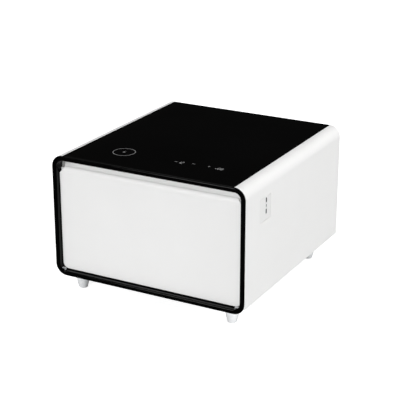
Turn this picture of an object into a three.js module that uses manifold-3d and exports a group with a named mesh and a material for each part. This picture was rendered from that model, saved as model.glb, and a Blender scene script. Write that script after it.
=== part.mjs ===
// Side table with a cold drawer, a glass top and a compressor at the back.
// Millimetres. X runs to the right, Y to the back and Z up.
// The origin lies on the floor under the middle of the table.

import * as THREE from 'three';
import { mergeVertices } from 'three/addons/utils/BufferGeometryUtils.js';
import Module from 'manifold-3d';

const wasm = await Module();
wasm.setup();

// Driving sizes of the whole table
const tableWidth = 600;
const tableDepth = 627;
const bodyHeight = 358;
const underGap = 48;
const cornerRadius = 33.5;

// Clearances
const seam = 0.3;
const overrun = 6;
const sameSpot = 0.001;

// Front bezel
const bezelBar = 14;
const bezelCrown = 4;
const bezelDepth = 8;
const liningDepth = 27;
const liningWall = 2;

// Wrap shell
const shellWall = 3;
const skirtRise = 18;
const returnWidth = 12;
const returnSheet = 1.5;

// Glass top
const glassThickness = 5;
const glassSideGap = 0.5;
const glassEdge = 1;
const glassCorner = 2;

// Base pan
const panRise = 2;
const panSheet = 2;
const panInset = 27;
const flangeLift = 1;
const rearLipHeight = 14;
const panSlotWidth = 6;
const panSlotLength = 70;
const panSlotPitch = 16;

// Feet
const footInsetX = 55;
const footFromFront = 49.6;
const footFromBack = 76.9;
const footTopRadius = 19.5;
const footBottomRadius = 12.5;
const footEdge = 3;
const footWaistRise = 10;
const studRadius = 4;
const nutAcross = 13;

// Drawer front
const panelRecess = 12.5;
const panelSideGap = 1.8;
const panelLowGap = 2.8;
const panelTopGap = 2;
const panelEdge = 2.5;
const doorThickness = 42;
const skinWall = 3;
const gripDrop = 51;
const lipThickness = 12.5;
const lipRounding = 8;
const lipBackRadius = 2;
const lipLand = 1;
const gripWidth = 12;
const gripDepth = 10;
const gripCove = 5;
const innerWall = 4;
const bulgeDepth = 12;
const bulgeClearance = 6;
const bulgeDraft = 5;
const bulgeCorner = 12;

// Door gasket
const gasketInset = 15.7;
const gasketCorner = 10;
const gasketWidth = 13;
const gasketReach = 8;
const gasketRoot = 6;
const gasketGroove = 2.5;
const gasketWaist = 8;

// Cabinet throat
const throatWall = 2.5;
const throatFlange = 3;
const throatStep = 0.5;

// Cold box
const foamSide = 43;
const foamFloor = 28;
const foamRoof = 52.5;
const foamRear = 32;
const linerWall = 2.5;
const linerCorner = 14;
const linerFlange = 8;
const linerFlangeSheet = 2;
const machineBay = 156;

// Evaporator plate
const evaporatorSheet = 2;
const evaporatorWidth = 400;
const evaporatorHeight = 210;
const evaporatorCorner = 10;

// Temperature sensor
const sensorRadius = 5;
const sensorLength = 10;
const sensorBase = 2.5;
const bulbRadius = 2.5;
const sensorPlaceShare = 0.5;
const sensorBelowRoof = 45;

// Telescopic slides
const railSheet = 1.2;
const railThickness = 12.7;
const railHeight = 45;
const railAboveFloor = 130;
const railFrontInset = 2;
const screwHead = 1.4;
const middleClear = 0.6;
const middleBack = 1.8;
const drawerRailBack = 5.5;
const railLip = 1.4;
const railHoleRadius = 2;
const railHoleMargin = 30;
const railSlotLength = 40;
const railSlotWidth = 12;

// Drawer tub
const tubWall = 3;
const tubClear = 5;
const tubHeadroom = 45;
const tubRearGap = 14;
const tubCorner = 12;
const tubLeastCorner = 3;
const tubFloorRadius = 14;
const tubRim = 7;
const tubRimHeight = 3;

// Electronics tray under the glass
const trayFromFront = 70;
const trayDepth = 86;
const trayLeftReach = 180;
const trayRightReach = 190;
const trayHeight = 18;
const trayWall = 2;
const trayFlange = 8;
const trayCorner = 6;
const postRadius = 4;
const boardThickness = 1.6;
const touchBoardLeft = 15;
const touchBoardMargin = 10;
const chargeX = 134;
const chargeFromFront = 113;
const coilInner = 10;
const coilOuter = 25;
const coilThickness = 1.5;
const ferriteRadius = 27;
const ferriteThickness = 2;
const coilBossRadius = 12;
const chargerLength = 70;
const chargerWidth = 44;
const chargerChip = 12;
const chargerChipHeight = 3;

// Port plate on the right side
const portPlateFromFront = 86;
const portPlateWidth = 65;
const portPlateHeight = 66.5;
const portPlateBelowTop = 58;
const portPlateGap = 0.6;
const portPlateCorner = 3;
const portPlateSink = 0.8;
const portPlateEdge = 0.8;
const portPlateFlange = 4;
const portPlateSheet = 2;
const portColumnFromFront = 124;
const portLong = 13.1;
const portWide = 5.7;
const smallPortLong = 8.4;
const smallPortWide = 2.6;
const portBelowTop = [67.7, 84, 100.7];
const portShellWall = 0.8;
const portShellLength = 14;
const portTongue = 2;
const smallPortTongue = 0.7;
const portTongueSetBack = 2.5;
const housingDepth = 24;
const portBoardMargin = 3;
const housingWall = 2;

// Back panel
const backInset = 3;
const backSheet = 1.5;
const grilleSlot = 7;
const grillePitch = 13.5;
const grilleCorner = 2;
const grilleRib = 6;
const grilleMargin = 4;
const louvreLength = 62;
const louvreSlot = 5;
const louvrePitch = 15;
const louvreReach = 2.6;
const louvreSheet = 1;
const louvreBankPitch = 78;
const louvrePlaceShare = 0.55;
const louvreTopDrop = 70;

// Fan
const fanSize = 120;
const fanDepth = 25;
const fanFlange = 3.5;
const fanCorner = 7;
const fanDuctRadius = 57;
const fanDuctWall = 2.2;
const fanHoleInset = 7.5;
const fanHoleRadius = 2.2;
const fanPlaceShare = 0.5;
const fanAboveBody = 102;
const fanStrut = 5;
const fanBaseRadius = 20;
const fanBaseSheet = 3;
const bearingOuter = 5;
const bearingInner = 3;
const bearingLength = 14;
const shaftRadius = 2.6;
const motorOuter = 15;
const motorLength = 8;
const hubRadius = 19.5;
const hubWall = 1.6;
const hubLength = 17;
const hubSetBack = 3;
const hubRound = 3;
const bladeTip = 55.5;
const bladeRootChord = 17;
const bladeTipChord = 30;
const bladeThickness = 1.8;

// Compressor
const compressorRadius = 60;
const compressorHeight = 146;
const compressorPlaceShare = 17 / 30;
const compressorFootLength = 180;
const compressorFootWidth = 112;
const compressorFootSheet = 2.5;
const compressorFootCorner = 14;
const mountSpanX = 152;
const mountSpanY = 84;
const mountHeight = 10;
const mountRadius = 10;
const mountWaist = 7.5;
const mountLip = 3.3;
const mountBolt = 3.7;
const mountBoltHead = 13;
const mountBoltHeadHeight = 5;
const mountSleeve = 4.3;
const weldBand = 3;
const weldBandHeight = 6;
const relayWidth = 44;
const relayDepth = 20;
const relayHeight = 50;
const pipeRadius = 4;
const stubLength = 12;
const dischargeRise = 100;
const suctionRise = 60;
const suctionShift = 20;

// Condenser
const condenserLength = 150;
const condenserDepth = 40;
const condenserFanGap = 8;
const condenserHeight = 152;
const finSheet = 1;
const endSheet = 2;
const passPitch = 38;
const firstPass = 20;
const condenserFoot = 14;
const condenserStub = 14;

// Filter drier and pipes
const drierRadius = 9;
const drierLength = 70;
const drierNeck = 10;
const capillaryRadius = 1.6;
const pipeBend = 26;
const pipeLead = 6.5;
const suctionPlaceShare = 1 / 6;
const suctionAboveBody = 84;
const capillaryPlaceShare = 1 / 15;
const capillaryAboveBody = 74;

// Power board
const boardWidth = 180;
const boardHeight = 120;
const boardPlaceShare = 0.6;
const boardBelowDeck = 14;
const boardTrayRim = 9;
const boardTrayWall = 2;
const boardTrayCorner = 4;
const boardPost = 5;
const transformerSize = 42;
const transformerHeight = 32;
const capacitorRadius = 9;
const capacitorHeight = 26;
const relaySize = 20;
const relayBlockHeight = 16;
const sinkWidth = 48;
const sinkSheet = 2.5;
const sinkHeight = 24;
const sinkFinPitch = 7;
const connectorWidth = 28;
const connectorHeight = 10;

// Power inlet
const inletPlaceShare = 0.84;
const inletAboveBody = 72;
const inletWidth = 27;
const inletHeight = 20;
const inletWall = 2.4;
const inletDepth = 22;
const inletFlange = 9;
const inletFlangeSheet = 2;
const inletCut = 6;
const inletPin = 2;
const inletPinTall = 4;
const inletPinSpread = 7;
const inletPinDrop = 2;
const inletPinRise = 4;
const inletPinLength = 14;
const inletScrewRadius = 1.9;

// Numbers of facets and copies
const cornerSteps = 7;
const crownSteps = 6;
const filletSteps = 3;
const roundSides = 24;
const footSides = 20;
const smallSides = 12;
const holeSides = 8;
const pipeSides = 8;
const pipeSteps = 14;
const crossingCount = 4;
const finCount = 9;
const bladeCount = 7;
const bladeStations = 4;
const grilleRows = 7;
const louvreRows = 5;
const louvreBanks = 2;
const panSlots = 5;
const railHoleCount = 3;
const sinkFins = 4;
const capacitorCount = 3;
const strutCount = 4;

// Shares
const smallPortRoundShare = 0.95;
const weldShare = 0.44;
const capacitorPitchShare = 2.4;
const chargerChipShares = [0.25, 0.75];
const postXShares = [0.08, 0.92];
const postYShares = [0.2, 0.8];
const boardPostShares = [-0.42, 0.42];
const domeShares = [[0, 0], [0.66, 0.01], [0.9, 0.045], [1, 0.13]];
const pitchRootShare = 0.56;
const pitchTipShare = 0.3;
const bladeThinShare = 0.35;
const bladeCamberShare = 0.09;
const sinkXShare = 0.3;
const relayXShares = [-0.05, 0.14];

// Places worked out from the sizes
const quarter = Math.PI / 2;
const wholeTurn = 360;
const halfWidth = tableWidth / 2;
const frontY = -tableDepth / 2;
const backY = tableDepth / 2;
const bodyLow = underGap;
const bodyHigh = underGap + bodyHeight;
const shellFront = frontY + bezelDepth + seam;
const shellLow = bodyLow + skirtRise;
const shellInner = halfWidth - shellWall;
const shoulderX = halfWidth - cornerRadius;
const shoulderZ = bodyHigh - cornerRadius;
const glassLow = bodyHigh - glassThickness;
const deckTop = glassLow - seam;
const deckUnder = deckTop - shellWall;
const backPanelY = backY - backInset - backSheet;
const returnY = backPanelY - seam - returnSheet;
const panLow = bodyLow + panRise;
const panTop = panLow + panSheet;
const throatLow = bodyLow + bezelBar - throatStep - throatWall;
const studTop = throatLow - seam;
const nutTop = studTop - seam;
const panHalf = halfWidth - panInset;
const panFlangeLow = shellLow + flangeLift;
const panFlangeTop = panFlangeLow + panSheet;
const panBack = returnY - seam;
const skinFront = frontY + panelRecess;
const doorBack = skinFront + doorThickness;
const doorHalf = halfWidth - bezelBar - panelSideGap;
const doorLow = bodyLow + bezelBar + panelLowGap;
const doorHigh = bodyHigh - bezelBar - panelTopGap;
const doorRadius = cornerRadius - bezelBar - panelSideGap;
const lipTop = bodyHigh - gripDrop;
const lipFront = Math.min(lipRounding, lipThickness - skinWall - seam - lipLand);
const lipBack = skinFront + lipThickness;
const gripBack = lipBack + gripWidth;
const gripLow = lipTop - gripDepth;
const cove = Math.min(gripCove, gripWidth / 2);
const skinBack = doorBack - innerWall - seam;
const faceY = doorBack + gasketReach;
const throatFront = frontY + liningDepth + seam;
const throatBack = faceY + throatFlange;
const foamLow = panFlangeTop + seam;
const foamHigh = deckUnder - seam;
const foamHalf = shellInner - seam;
const linerHalf = shellInner - foamSide - linerWall;
const linerLow = foamLow + foamFloor + linerWall;
const linerHigh = foamHigh - foamRoof - linerWall;
const linerFront = throatBack + seam;
const foamFront = linerFront + linerFlangeSheet + seam;
const foamBack = backPanelY - machineBay;
const linerOuterBack = foamBack - foamRear;
const linerBack = linerOuterBack - linerWall;
const evaporatorFront = linerOuterBack + seam;
const evaporatorBack = evaporatorFront + evaporatorSheet;
const pipeEnd = evaporatorBack + 2 * seam;
const bulgeBack = doorBack + bulgeDepth;
const tubFront = bulgeBack + seam;
const tubBack = linerBack - tubRearGap;
const tubHalf = linerHalf - railThickness - 2 * seam;
const tubLow = linerLow + tubClear;
const tubHigh = linerHigh - tubHeadroom;
const railFront = tubFront + railFrontInset;
const railBack = tubBack;
const railZ = linerLow + railAboveFloor;
const trayFront = frontY + trayFromFront;
const trayBack = trayFront + trayDepth;
const trayTop = deckUnder - seam;
const trayLow = trayTop - trayHeight;
const chargeY = frontY + chargeFromFront;
const touchBoardLow = glassLow - seam - boardThickness;
const coilLow = glassLow - seam - coilThickness;
const ferriteHigh = coilLow - seam;
const ferriteLow = ferriteHigh - ferriteThickness;
const portFront = frontY + portPlateFromFront;
const portBack = portFront + portPlateWidth;
const portHigh = bodyHigh - portPlateBelowTop;
const portLow = portHigh - portPlateHeight;
const portY = frontY + portColumnFromFront;
const portFace = halfWidth - portPlateSink;
const portFlangeFace = shellInner - seam;
const portFlangeBack = portFlangeFace - portPlateSheet;
const housingBack = portFlangeBack - seam - housingDepth;
const bayMiddle = (foamBack + backPanelY) / 2;
const fanZ = bodyLow + fanAboveBody;
const fanFaceY = backPanelY - seam - fanDepth;
const condenserY = fanFaceY - condenserFanGap - condenserDepth / 2;
const compressorFootLow = panTop + seam + mountHeight + seam;
const compressorLow = compressorFootLow - mountHeight / 2;
const fanX = halfWidth * fanPlaceShare;
const louvreX = -halfWidth * louvrePlaceShare;
const compressorX = -halfWidth * compressorPlaceShare;
const suctionX = -halfWidth * suctionPlaceShare;
const inletX = -halfWidth * inletPlaceShare;
const inletZ = bodyLow + inletAboveBody;

// Solids from geometries and back
function solidOf(geometry) {
  const bare = geometry.clone();
  bare.deleteAttribute('normal');
  bare.deleteAttribute('uv');
  const merged = mergeVertices(bare);
  const places = merged.attributes.position.array;
  const corners = Array.from(merged.index.array);
  const triangles = [];
  for (let i = 0; i < corners.length; i += 3) {
    const [a, b, c] = corners.slice(i, i + 3);
    if (a !== b && b !== c && c !== a) triangles.push([a, b, c]);
  }
  const point = (n) => new THREE.Vector3().fromArray(places, 3 * n);
  const volume = triangles.reduce((sum, [a, b, c]) => sum + point(a).dot(point(b).cross(point(c))), 0);
  const facingOut = volume > 0 ? triangles : triangles.map(([a, b, c]) => [a, c, b]);
  return new wasm.Manifold(new wasm.Mesh({
    numProp: 3,
    vertProperties: new Float32Array(places),
    triVerts: new Uint32Array(facingOut.flat()),
  }));
}

function geometryOf(solid) {
  const mesh = solid.getMesh();
  const geometry = new THREE.BufferGeometry();
  geometry.setAttribute('position', new THREE.BufferAttribute(new Float32Array(mesh.vertProperties), 3));
  geometry.setIndex(Array.from(mesh.triVerts));
  geometry.computeVertexNormals();
  return geometry;
}

function join(solids) {
  return solids.reduce((sum, next) => sum.add(next));
}

function cut(body, tools) {
  return tools.reduce((rest, tool) => rest.subtract(tool), body);
}

// Outlines, as lists of points
function arc(centreX, centreY, radius, fromQuarter, toQuarter, steps = cornerSteps) {
  const points = [];
  for (let k = 0; k <= steps; k += 1) {
    const angle = quarter * (fromQuarter + ((toQuarter - fromQuarter) * k) / steps);
    points.push(new THREE.Vector2(centreX + radius * Math.cos(angle), centreY + radius * Math.sin(angle)));
  }
  return points;
}

function spots(pairs) {
  return pairs.map(([x, y]) => new THREE.Vector2(x, y));
}

function shapeOf(points) {
  const kept = points.filter((point, n) => point.distanceTo(points.at(n - 1)) > sameSpot);
  return new THREE.Shape(kept);
}

function roundedOutline(lowX, highX, lowY, highY, radius, steps = cornerSteps) {
  return [
    ...arc(highX - radius, highY - radius, radius, 0, 1, steps),
    ...arc(lowX + radius, highY - radius, radius, 1, 2, steps),
    ...arc(lowX + radius, lowY + radius, radius, 2, 3, steps),
    ...arc(highX - radius, lowY + radius, radius, 3, 4, steps),
  ];
}

// Prisms along an axis: along X the outline is (y, z), along Y (x, z), along Z (x, y)
const turnToX = new THREE.Matrix4().makeBasis(
  new THREE.Vector3(0, 1, 0),
  new THREE.Vector3(0, 0, 1),
  new THREE.Vector3(1, 0, 0),
);
const turnToY = new THREE.Matrix4().makeBasis(
  new THREE.Vector3(1, 0, 0),
  new THREE.Vector3(0, 0, 1),
  new THREE.Vector3(0, -1, 0),
);

function prism(axis, points, from, to, holes = []) {
  const shape = shapeOf(points);
  shape.holes = holes.map((hole) => new THREE.Path(hole));
  const geometry = new THREE.ExtrudeGeometry(shape, { depth: to - from, bevelEnabled: false });
  if (axis === 'x') geometry.applyMatrix4(turnToX).translate(from, 0, 0);
  if (axis === 'y') geometry.applyMatrix4(turnToY).translate(0, to, 0);
  if (axis === 'z') geometry.translate(0, 0, from);
  return solidOf(geometry);
}

function box(lowX, highX, lowY, highY, lowZ, highZ) {
  return prism('z', spots([[lowX, lowY], [highX, lowY], [highX, highY], [lowX, highY]]), lowZ, highZ);
}

function rod(axis, radius, centre, from, to, sides = smallSides) {
  const [x, y] = centre;
  return prism(axis, arc(x, y, radius, 0, 4, sides).slice(1), from, to);
}

function turned(profile, sides = smallSides) {
  return solidOf(new THREE.LatheGeometry(spots(profile), sides).rotateX(quarter));
}

function hexagon(centreX, centreY, across) {
  return arc(centreX, centreY, across / Math.sqrt(3), 0, 4, 6).slice(1);
}

// A skin through equal rings of points, closed by end caps or looped back to its first ring
function loft(rings, looped = false) {
  const count = rings[0].length;
  const triangles = [];
  const bands = looped ? rings.length : rings.length - 1;
  for (let band = 0; band < bands; band += 1) {
    const near = band * count;
    const far = ((band + 1) % rings.length) * count;
    for (let n = 0; n < count; n += 1) {
      const next = (n + 1) % count;
      triangles.push(near + n, near + next, far + next);
      triangles.push(near + n, far + next, far + n);
    }
  }
  if (!looped) {
    const last = (rings.length - 1) * count;
    for (let n = 1; n < count - 1; n += 1) {
      triangles.push(0, n + 1, n);
      triangles.push(last, last + n, last + n + 1);
    }
  }
  const geometry = new THREE.BufferGeometry();
  const places = rings.flat().flatMap((point) => point.toArray());
  geometry.setAttribute('position', new THREE.Float32BufferAttribute(places, 3));
  geometry.setIndex(triangles);
  return solidOf(geometry);
}

// A rounded upright frame outline at one depth, and a rounded level one at one height
function uprightRing(half, low, high, radius, y, steps = cornerSteps) {
  const points = roundedOutline(-half, half, low, high, radius, steps);
  return points.map((point) => new THREE.Vector3(point.x, y, point.y));
}

function levelRing(lowX, highX, lowY, highY, radius, z, steps = cornerSteps) {
  const points = roundedOutline(lowX, highX, lowY, highY, radius, steps);
  return points.map((point) => new THREE.Vector3(point.x, point.y, z));
}

function uprightBlock(half, low, high, radius, fromY, toY) {
  return prism('y', roundedOutline(-half, half, low, high, radius), fromY, toY);
}

// A round tube along a smooth line through places
function pipe(places, radius, steps = pipeSteps) {
  const line = new THREE.CatmullRomCurve3(places, false, 'centripetal');
  const section = shapeOf(arc(0, 0, radius, 0, 4, pipeSides).slice(1));
  return solidOf(new THREE.ExtrudeGeometry(section, { steps, extrudePath: line, bevelEnabled: false }));
}

// Front bezel
function bezelRing(inset, depth) {
  return uprightRing(
    halfWidth - inset,
    bodyLow + inset,
    bodyHigh - inset,
    cornerRadius - inset,
    frontY + depth,
  );
}

function frontBezel() {
  const section = [];
  for (let k = 0; k <= crownSteps; k += 1) {
    const angle = (Math.PI * k) / crownSteps;
    section.push([(bezelBar / 2) * (1 - Math.cos(angle)), bezelCrown * (1 - Math.sin(angle))]);
  }
  section.push([bezelBar, liningDepth]);
  section.push([bezelBar - liningWall, liningDepth]);
  section.push([bezelBar - liningWall, bezelDepth]);
  section.push([0, bezelDepth]);
  return loft(section.map(([inset, depth]) => bezelRing(inset, depth)), true);
}

// Wrap shell: two sides, their shoulders and the sunk deck that carries the glass
function shellOutline() {
  const innerRadius = cornerRadius - shellWall;
  const stepQuarter = Math.acos(shellWall / innerRadius) / quarter;
  const right = [
    ...spots([[shoulderX, deckTop], [shoulderX, bodyHigh]]),
    ...arc(shoulderX, shoulderZ, cornerRadius, 1, 0),
    ...spots([[halfWidth, shellLow], [shellInner, shellLow]]),
    ...arc(shoulderX, shoulderZ, innerRadius, 0, stepQuarter),
    ...spots([[shoulderX + shellWall, deckUnder]]),
  ];
  const left = right.map((point) => new THREE.Vector2(-point.x, point.y)).reverse();
  return [...right, ...left];
}

function trayOutline(grow) {
  return roundedOutline(
    -trayLeftReach - grow,
    trayRightReach + grow,
    trayFront - grow,
    trayBack + grow,
    trayCorner + grow,
    filletSteps,
  );
}

// The room inside the shell, down to a given height, with a given gap to the shell
function insideOutline(gap, low) {
  const radius = cornerRadius - shellWall - gap;
  const high = deckUnder - gap;
  const topQuarter = Math.asin((high - shoulderZ) / radius) / quarter;
  const right = [
    ...spots([[shoulderX + radius, low]]),
    ...arc(shoulderX, shoulderZ, radius, 0, topQuarter),
  ];
  const left = right.map((point) => new THREE.Vector2(-point.x, point.y)).reverse();
  return [...right, ...left];
}

function portPlateHole(grow) {
  return roundedOutline(
    portFront - grow,
    portBack + grow,
    portLow - grow,
    portHigh + grow,
    portPlateCorner + grow,
    filletSteps,
  );
}

function wrapShell() {
  const sheet = prism('y', shellOutline(), shellFront, backY);
  const rimOutline = insideOutline(-sameSpot, panFlangeTop + seam);
  const rimRoom = insideOutline(returnWidth, panFlangeTop - overrun);
  const rim = cut(prism('y', rimOutline, returnY, returnY + returnSheet), [
    prism('y', rimRoom, returnY - overrun, backY),
  ]);
  const trayHole = prism(
    'z',
    trayOutline(-trayWall),
    deckUnder - overrun,
    bodyHigh,
  );
  const portHole = prism('x', portPlateHole(portPlateGap), shellInner - overrun, halfWidth + overrun);
  return cut(join([sheet, rim]), [trayHole, portHole]);
}

// Glass top
function glassTop() {
  const half = shoulderX - glassSideGap;
  const rings = [levelRing(-half, half, shellFront, backY, glassCorner, glassLow, filletSteps)];
  for (let k = 0; k <= filletSteps; k += 1) {
    const angle = (quarter * k) / filletSteps;
    const inset = glassEdge * (1 - Math.cos(angle));
    const z = bodyHigh - glassEdge * (1 - Math.sin(angle));
    rings.push(levelRing(
      -half + inset,
      half - inset,
      shellFront + inset,
      backY - inset,
      glassCorner,
      z,
      filletSteps,
    ));
  }
  return loft(rings);
}

// Base pan: folded sheet that carries the feet, the foam and the compressor
function footPlaces() {
  const x = halfWidth - footInsetX;
  return [
    ['left_front', -x, frontY + footFromFront],
    ['right_front', x, frontY + footFromFront],
    ['left_rear', -x, backY - footFromBack],
    ['right_rear', x, backY - footFromBack],
  ];
}

function mountPlaces() {
  const left = compressorX - mountSpanX / 2;
  const right = compressorX + mountSpanX / 2;
  const front = bayMiddle - mountSpanY / 2;
  const rear = bayMiddle + mountSpanY / 2;
  return [
    ['left_front', left, front],
    ['right_front', right, front],
    ['left_rear', left, rear],
    ['right_rear', right, rear],
  ];
}

function basePan() {
  const edge = foamHalf;
  const inner = panHalf - panSheet;
  const hat = spots([
    [-edge, panFlangeLow],
    [-panHalf, panFlangeLow],
    [-panHalf, panLow],
    [panHalf, panLow],
    [panHalf, panFlangeLow],
    [edge, panFlangeLow],
    [edge, panFlangeTop],
    [inner, panFlangeTop],
    [inner, panTop],
    [-inner, panTop],
    [-inner, panFlangeTop],
    [-edge, panFlangeTop],
  ]);
  const tray = prism('y', hat, foamFront, panBack);
  const floor = box(-panHalf, panHalf, shellFront, panBack, panLow, panTop);
  const lip = box(-inner, inner, panBack - panSheet, panBack, panLow, panTop + rearLipHeight);
  const cuts = [];
  for (const [, x, y] of footPlaces()) {
    cuts.push(rod('z', studRadius + 2 * seam, [x, y], panLow - overrun, panTop + overrun, holeSides));
  }
  for (const [, x, y] of mountPlaces()) {
    cuts.push(rod('z', mountSleeve, [x, y], panLow - overrun, panTop + overrun, holeSides));
  }
  for (let n = 0; n < panSlots; n += 1) {
    const x = (n - (panSlots - 1) / 2) * panSlotPitch + suctionX / 2;
    const slot = roundedOutline(
      x - panSlotWidth / 2,
      x + panSlotWidth / 2,
      bayMiddle - panSlotLength / 2,
      bayMiddle + panSlotLength / 2,
      panSlotWidth / 2,
      2,
    );
    cuts.push(prism('z', slot, panLow - overrun, panTop + overrun));
  }
  return cut(join([tray, floor, lip]), cuts);
}

// Feet with their studs, and the nuts that hold them
function foot() {
  const profile = [[0, 0], [footBottomRadius - footEdge, 0]];
  for (const point of arc(footBottomRadius - footEdge, footEdge, footEdge, 3, 4, filletSteps)) {
    profile.push([point.x, point.y]);
  }
  const top = panLow - seam;
  const waist = (footBottomRadius + footTopRadius) / 2;
  profile.push([waist, top / 2 + footWaistRise / 2]);
  profile.push([footTopRadius, top - footEdge]);
  profile.push([footTopRadius, top]);
  profile.push([studRadius, top]);
  profile.push([studRadius, studTop]);
  profile.push([0, studTop]);
  return turned(profile, footSides);
}

function footNut() {
  const nut = prism('z', hexagon(0, 0, nutAcross), panTop + seam, nutTop);
  return cut(nut, [rod('z', studRadius + seam, [0, 0], panTop, nutTop + overrun)]);
}

// Cabinet throat: the white sleeve behind the bezel and the face that the gasket meets
function cabinetThroat() {
  const inset = bezelBar - throatStep;
  const sleeveHalf = halfWidth - inset;
  const sleeveRadius = cornerRadius - inset;
  const outer = uprightBlock(
    sleeveHalf + throatWall,
    throatLow,
    bodyHigh - inset + throatWall,
    sleeveRadius + throatWall,
    throatFront,
    throatBack,
  );
  const bore = uprightBlock(
    sleeveHalf,
    bodyLow + inset,
    bodyHigh - inset,
    sleeveRadius,
    throatFront - overrun,
    faceY,
  );
  const mouth = uprightBlock(
    linerHalf,
    linerLow,
    linerHigh,
    linerCorner - linerWall,
    faceY - overrun,
    throatBack + overrun,
  );
  return cut(outer, [bore, mouth]);
}

// Screw holes of the slides
function railScrewPlaces() {
  const first = railFront + railHoleMargin;
  const last = railBack - railHoleMargin;
  const places = [];
  for (let n = 0; n < railHoleCount; n += 1) {
    places.push([first + ((last - first) * n) / (railHoleCount - 1), railZ]);
  }
  return places;
}

// Cold box liner: an open moulded box with a flange behind the cabinet face
function coldBoxLiner() {
  const outer = uprightBlock(
    linerHalf + linerWall,
    linerLow - linerWall,
    linerHigh + linerWall,
    linerCorner,
    linerFront,
    linerOuterBack,
  );
  const flange = uprightBlock(
    linerHalf + linerWall + linerFlange,
    linerLow - linerWall - linerFlange,
    linerHigh + linerWall + linerFlange,
    linerCorner,
    linerFront,
    linerFront + linerFlangeSheet,
  );
  const inner = uprightBlock(
    linerHalf,
    linerLow,
    linerHigh,
    linerCorner - linerWall,
    linerFront - overrun,
    linerBack,
  );
  return cut(join([outer, flange]), [inner]);
}

// Insulation foam round the liner, with pockets for what sits in it
function insulationFoam() {
  const body = prism('y', insideOutline(seam, foamLow), foamFront, foamBack);
  const pocket = linerWall + seam;
  const boxRoom = uprightBlock(
    linerHalf + pocket,
    linerLow - pocket,
    linerHigh + pocket,
    linerCorner + seam,
    foamFront - overrun,
    linerOuterBack + seam,
  );
  const plateRoom = prism('y', evaporatorOutline(seam), linerOuterBack, evaporatorBack + seam);
  const trayRoom = prism('z', trayOutline(trayFlange + seam), trayLow - seam, foamHigh + overrun);
  const portRoom = prism(
    'x',
    portPlateHole(portPlateFlange + seam),
    housingBack - seam,
    halfWidth,
  );
  const pipeHoles = [[pipeRadius, suctionPlace()], [capillaryRadius, capillaryPlace()]].map(
    ([radius, place]) => rod('y', radius + 2 * seam, place, linerOuterBack, foamBack + overrun),
  );
  return cut(body, [boxRoom, plateRoom, trayRoom, portRoom, ...pipeHoles]);
}

// Evaporator plate behind the liner, and the sensor on the liner's back wall
function evaporatorOutline(grow) {
  const half = evaporatorWidth / 2 + grow;
  const middle = (linerLow + linerHigh) / 2;
  const reach = evaporatorHeight / 2 + grow;
  return roundedOutline(-half, half, middle - reach, middle + reach, evaporatorCorner + grow, filletSteps);
}

function evaporatorPlate() {
  return prism('y', evaporatorOutline(0), evaporatorFront, evaporatorBack);
}

function temperatureSensor() {
  const place = [halfWidth * sensorPlaceShare, linerHigh - sensorBelowRoof];
  const far = linerBack - seam;
  const clip = rod('y', sensorRadius, place, far - sensorBase, far, smallSides);
  const bulb = rod('y', bulbRadius, place, far - sensorLength, far, smallSides);
  return join([clip, bulb]);
}

// Drawer front: the section of its face, lip and finger groove, drawn (y, z), at a given depth in the wall
function gripSection(inset, back) {
  const front = skinFront + inset;
  const frontRadius = lipFront - inset;
  const backRadius = Math.max(lipBackRadius - inset, 0);
  const lipEnd = lipBack - inset;
  const top = lipTop - inset;
  const coveRadius = cove + inset;
  return [
    ...spots([[front, doorLow - overrun]]),
    ...arc(skinFront + lipFront, lipTop - lipFront, frontRadius, 2, 1),
    ...arc(lipEnd - backRadius, top - backRadius, backRadius, 1, 0, filletSteps),
    ...arc(lipBack + cove, gripLow + cove, coveRadius, 2, 3),
    ...arc(gripBack - cove, gripLow + cove, coveRadius, 3, 4),
    ...spots([
      [gripBack + inset, doorHigh + overrun],
      [back, doorHigh + overrun],
      [back, doorLow - overrun],
    ]),
  ];
}

function doorBlock(inset, back) {
  const rings = [];
  const edge = Math.max(panelEdge - inset, 0);
  for (let k = 0; k <= filletSteps; k += 1) {
    const angle = (quarter * k) / filletSteps;
    const draw = inset + edge * (1 - Math.sin(angle));
    const y = skinFront + inset + edge * (1 - Math.cos(angle));
    rings.push(uprightRing(doorHalf - draw, doorLow + draw, doorHigh - draw, doorRadius - draw, y));
  }
  rings.push(uprightRing(doorHalf - inset, doorLow + inset, doorHigh - inset, doorRadius - inset, back));
  return loft(edge > 0 ? rings : rings.slice(-2));
}

function doorForm(inset, back) {
  const section = prism('x', gripSection(inset, back + overrun), -halfWidth, halfWidth);
  return section.intersect(doorBlock(inset, back));
}

function drawerFrontSkin() {
  return cut(doorForm(0, skinBack), [doorForm(skinWall, skinBack + overrun)]);
}

function drawerFrontFoam() {
  return doorForm(skinWall + seam, skinBack);
}

// Drawer inner panel with the gasket's groove and the bulge that closes the mouth
function gasketRing(offset, y) {
  const inset = gasketInset + offset;
  return uprightRing(
    doorHalf - inset,
    doorLow + inset,
    doorHigh - inset,
    gasketCorner - offset,
    y,
    filletSteps,
  );
}

function bulgeRing(draw, y) {
  const inset = bulgeClearance + draw;
  return uprightRing(linerHalf - inset, linerLow + inset, linerHigh - inset, bulgeCorner, y, filletSteps);
}

function drawerInnerPanel() {
  const plate = uprightBlock(doorHalf, doorLow, doorHigh, doorRadius, doorBack - innerWall, doorBack);
  const bulge = loft([
    bulgeRing(0, doorBack - innerWall / 2),
    bulgeRing(0, doorBack),
    bulgeRing(bulgeDraft, bulgeBack),
  ]);
  const half = gasketRoot / 2 + seam;
  const groove = loft([
    gasketRing(-half, doorBack + overrun),
    gasketRing(half, doorBack + overrun),
    gasketRing(half, doorBack - gasketGroove),
    gasketRing(-half, doorBack - gasketGroove),
  ], true);
  return cut(join([plate, bulge]), [groove]);
}

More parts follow.
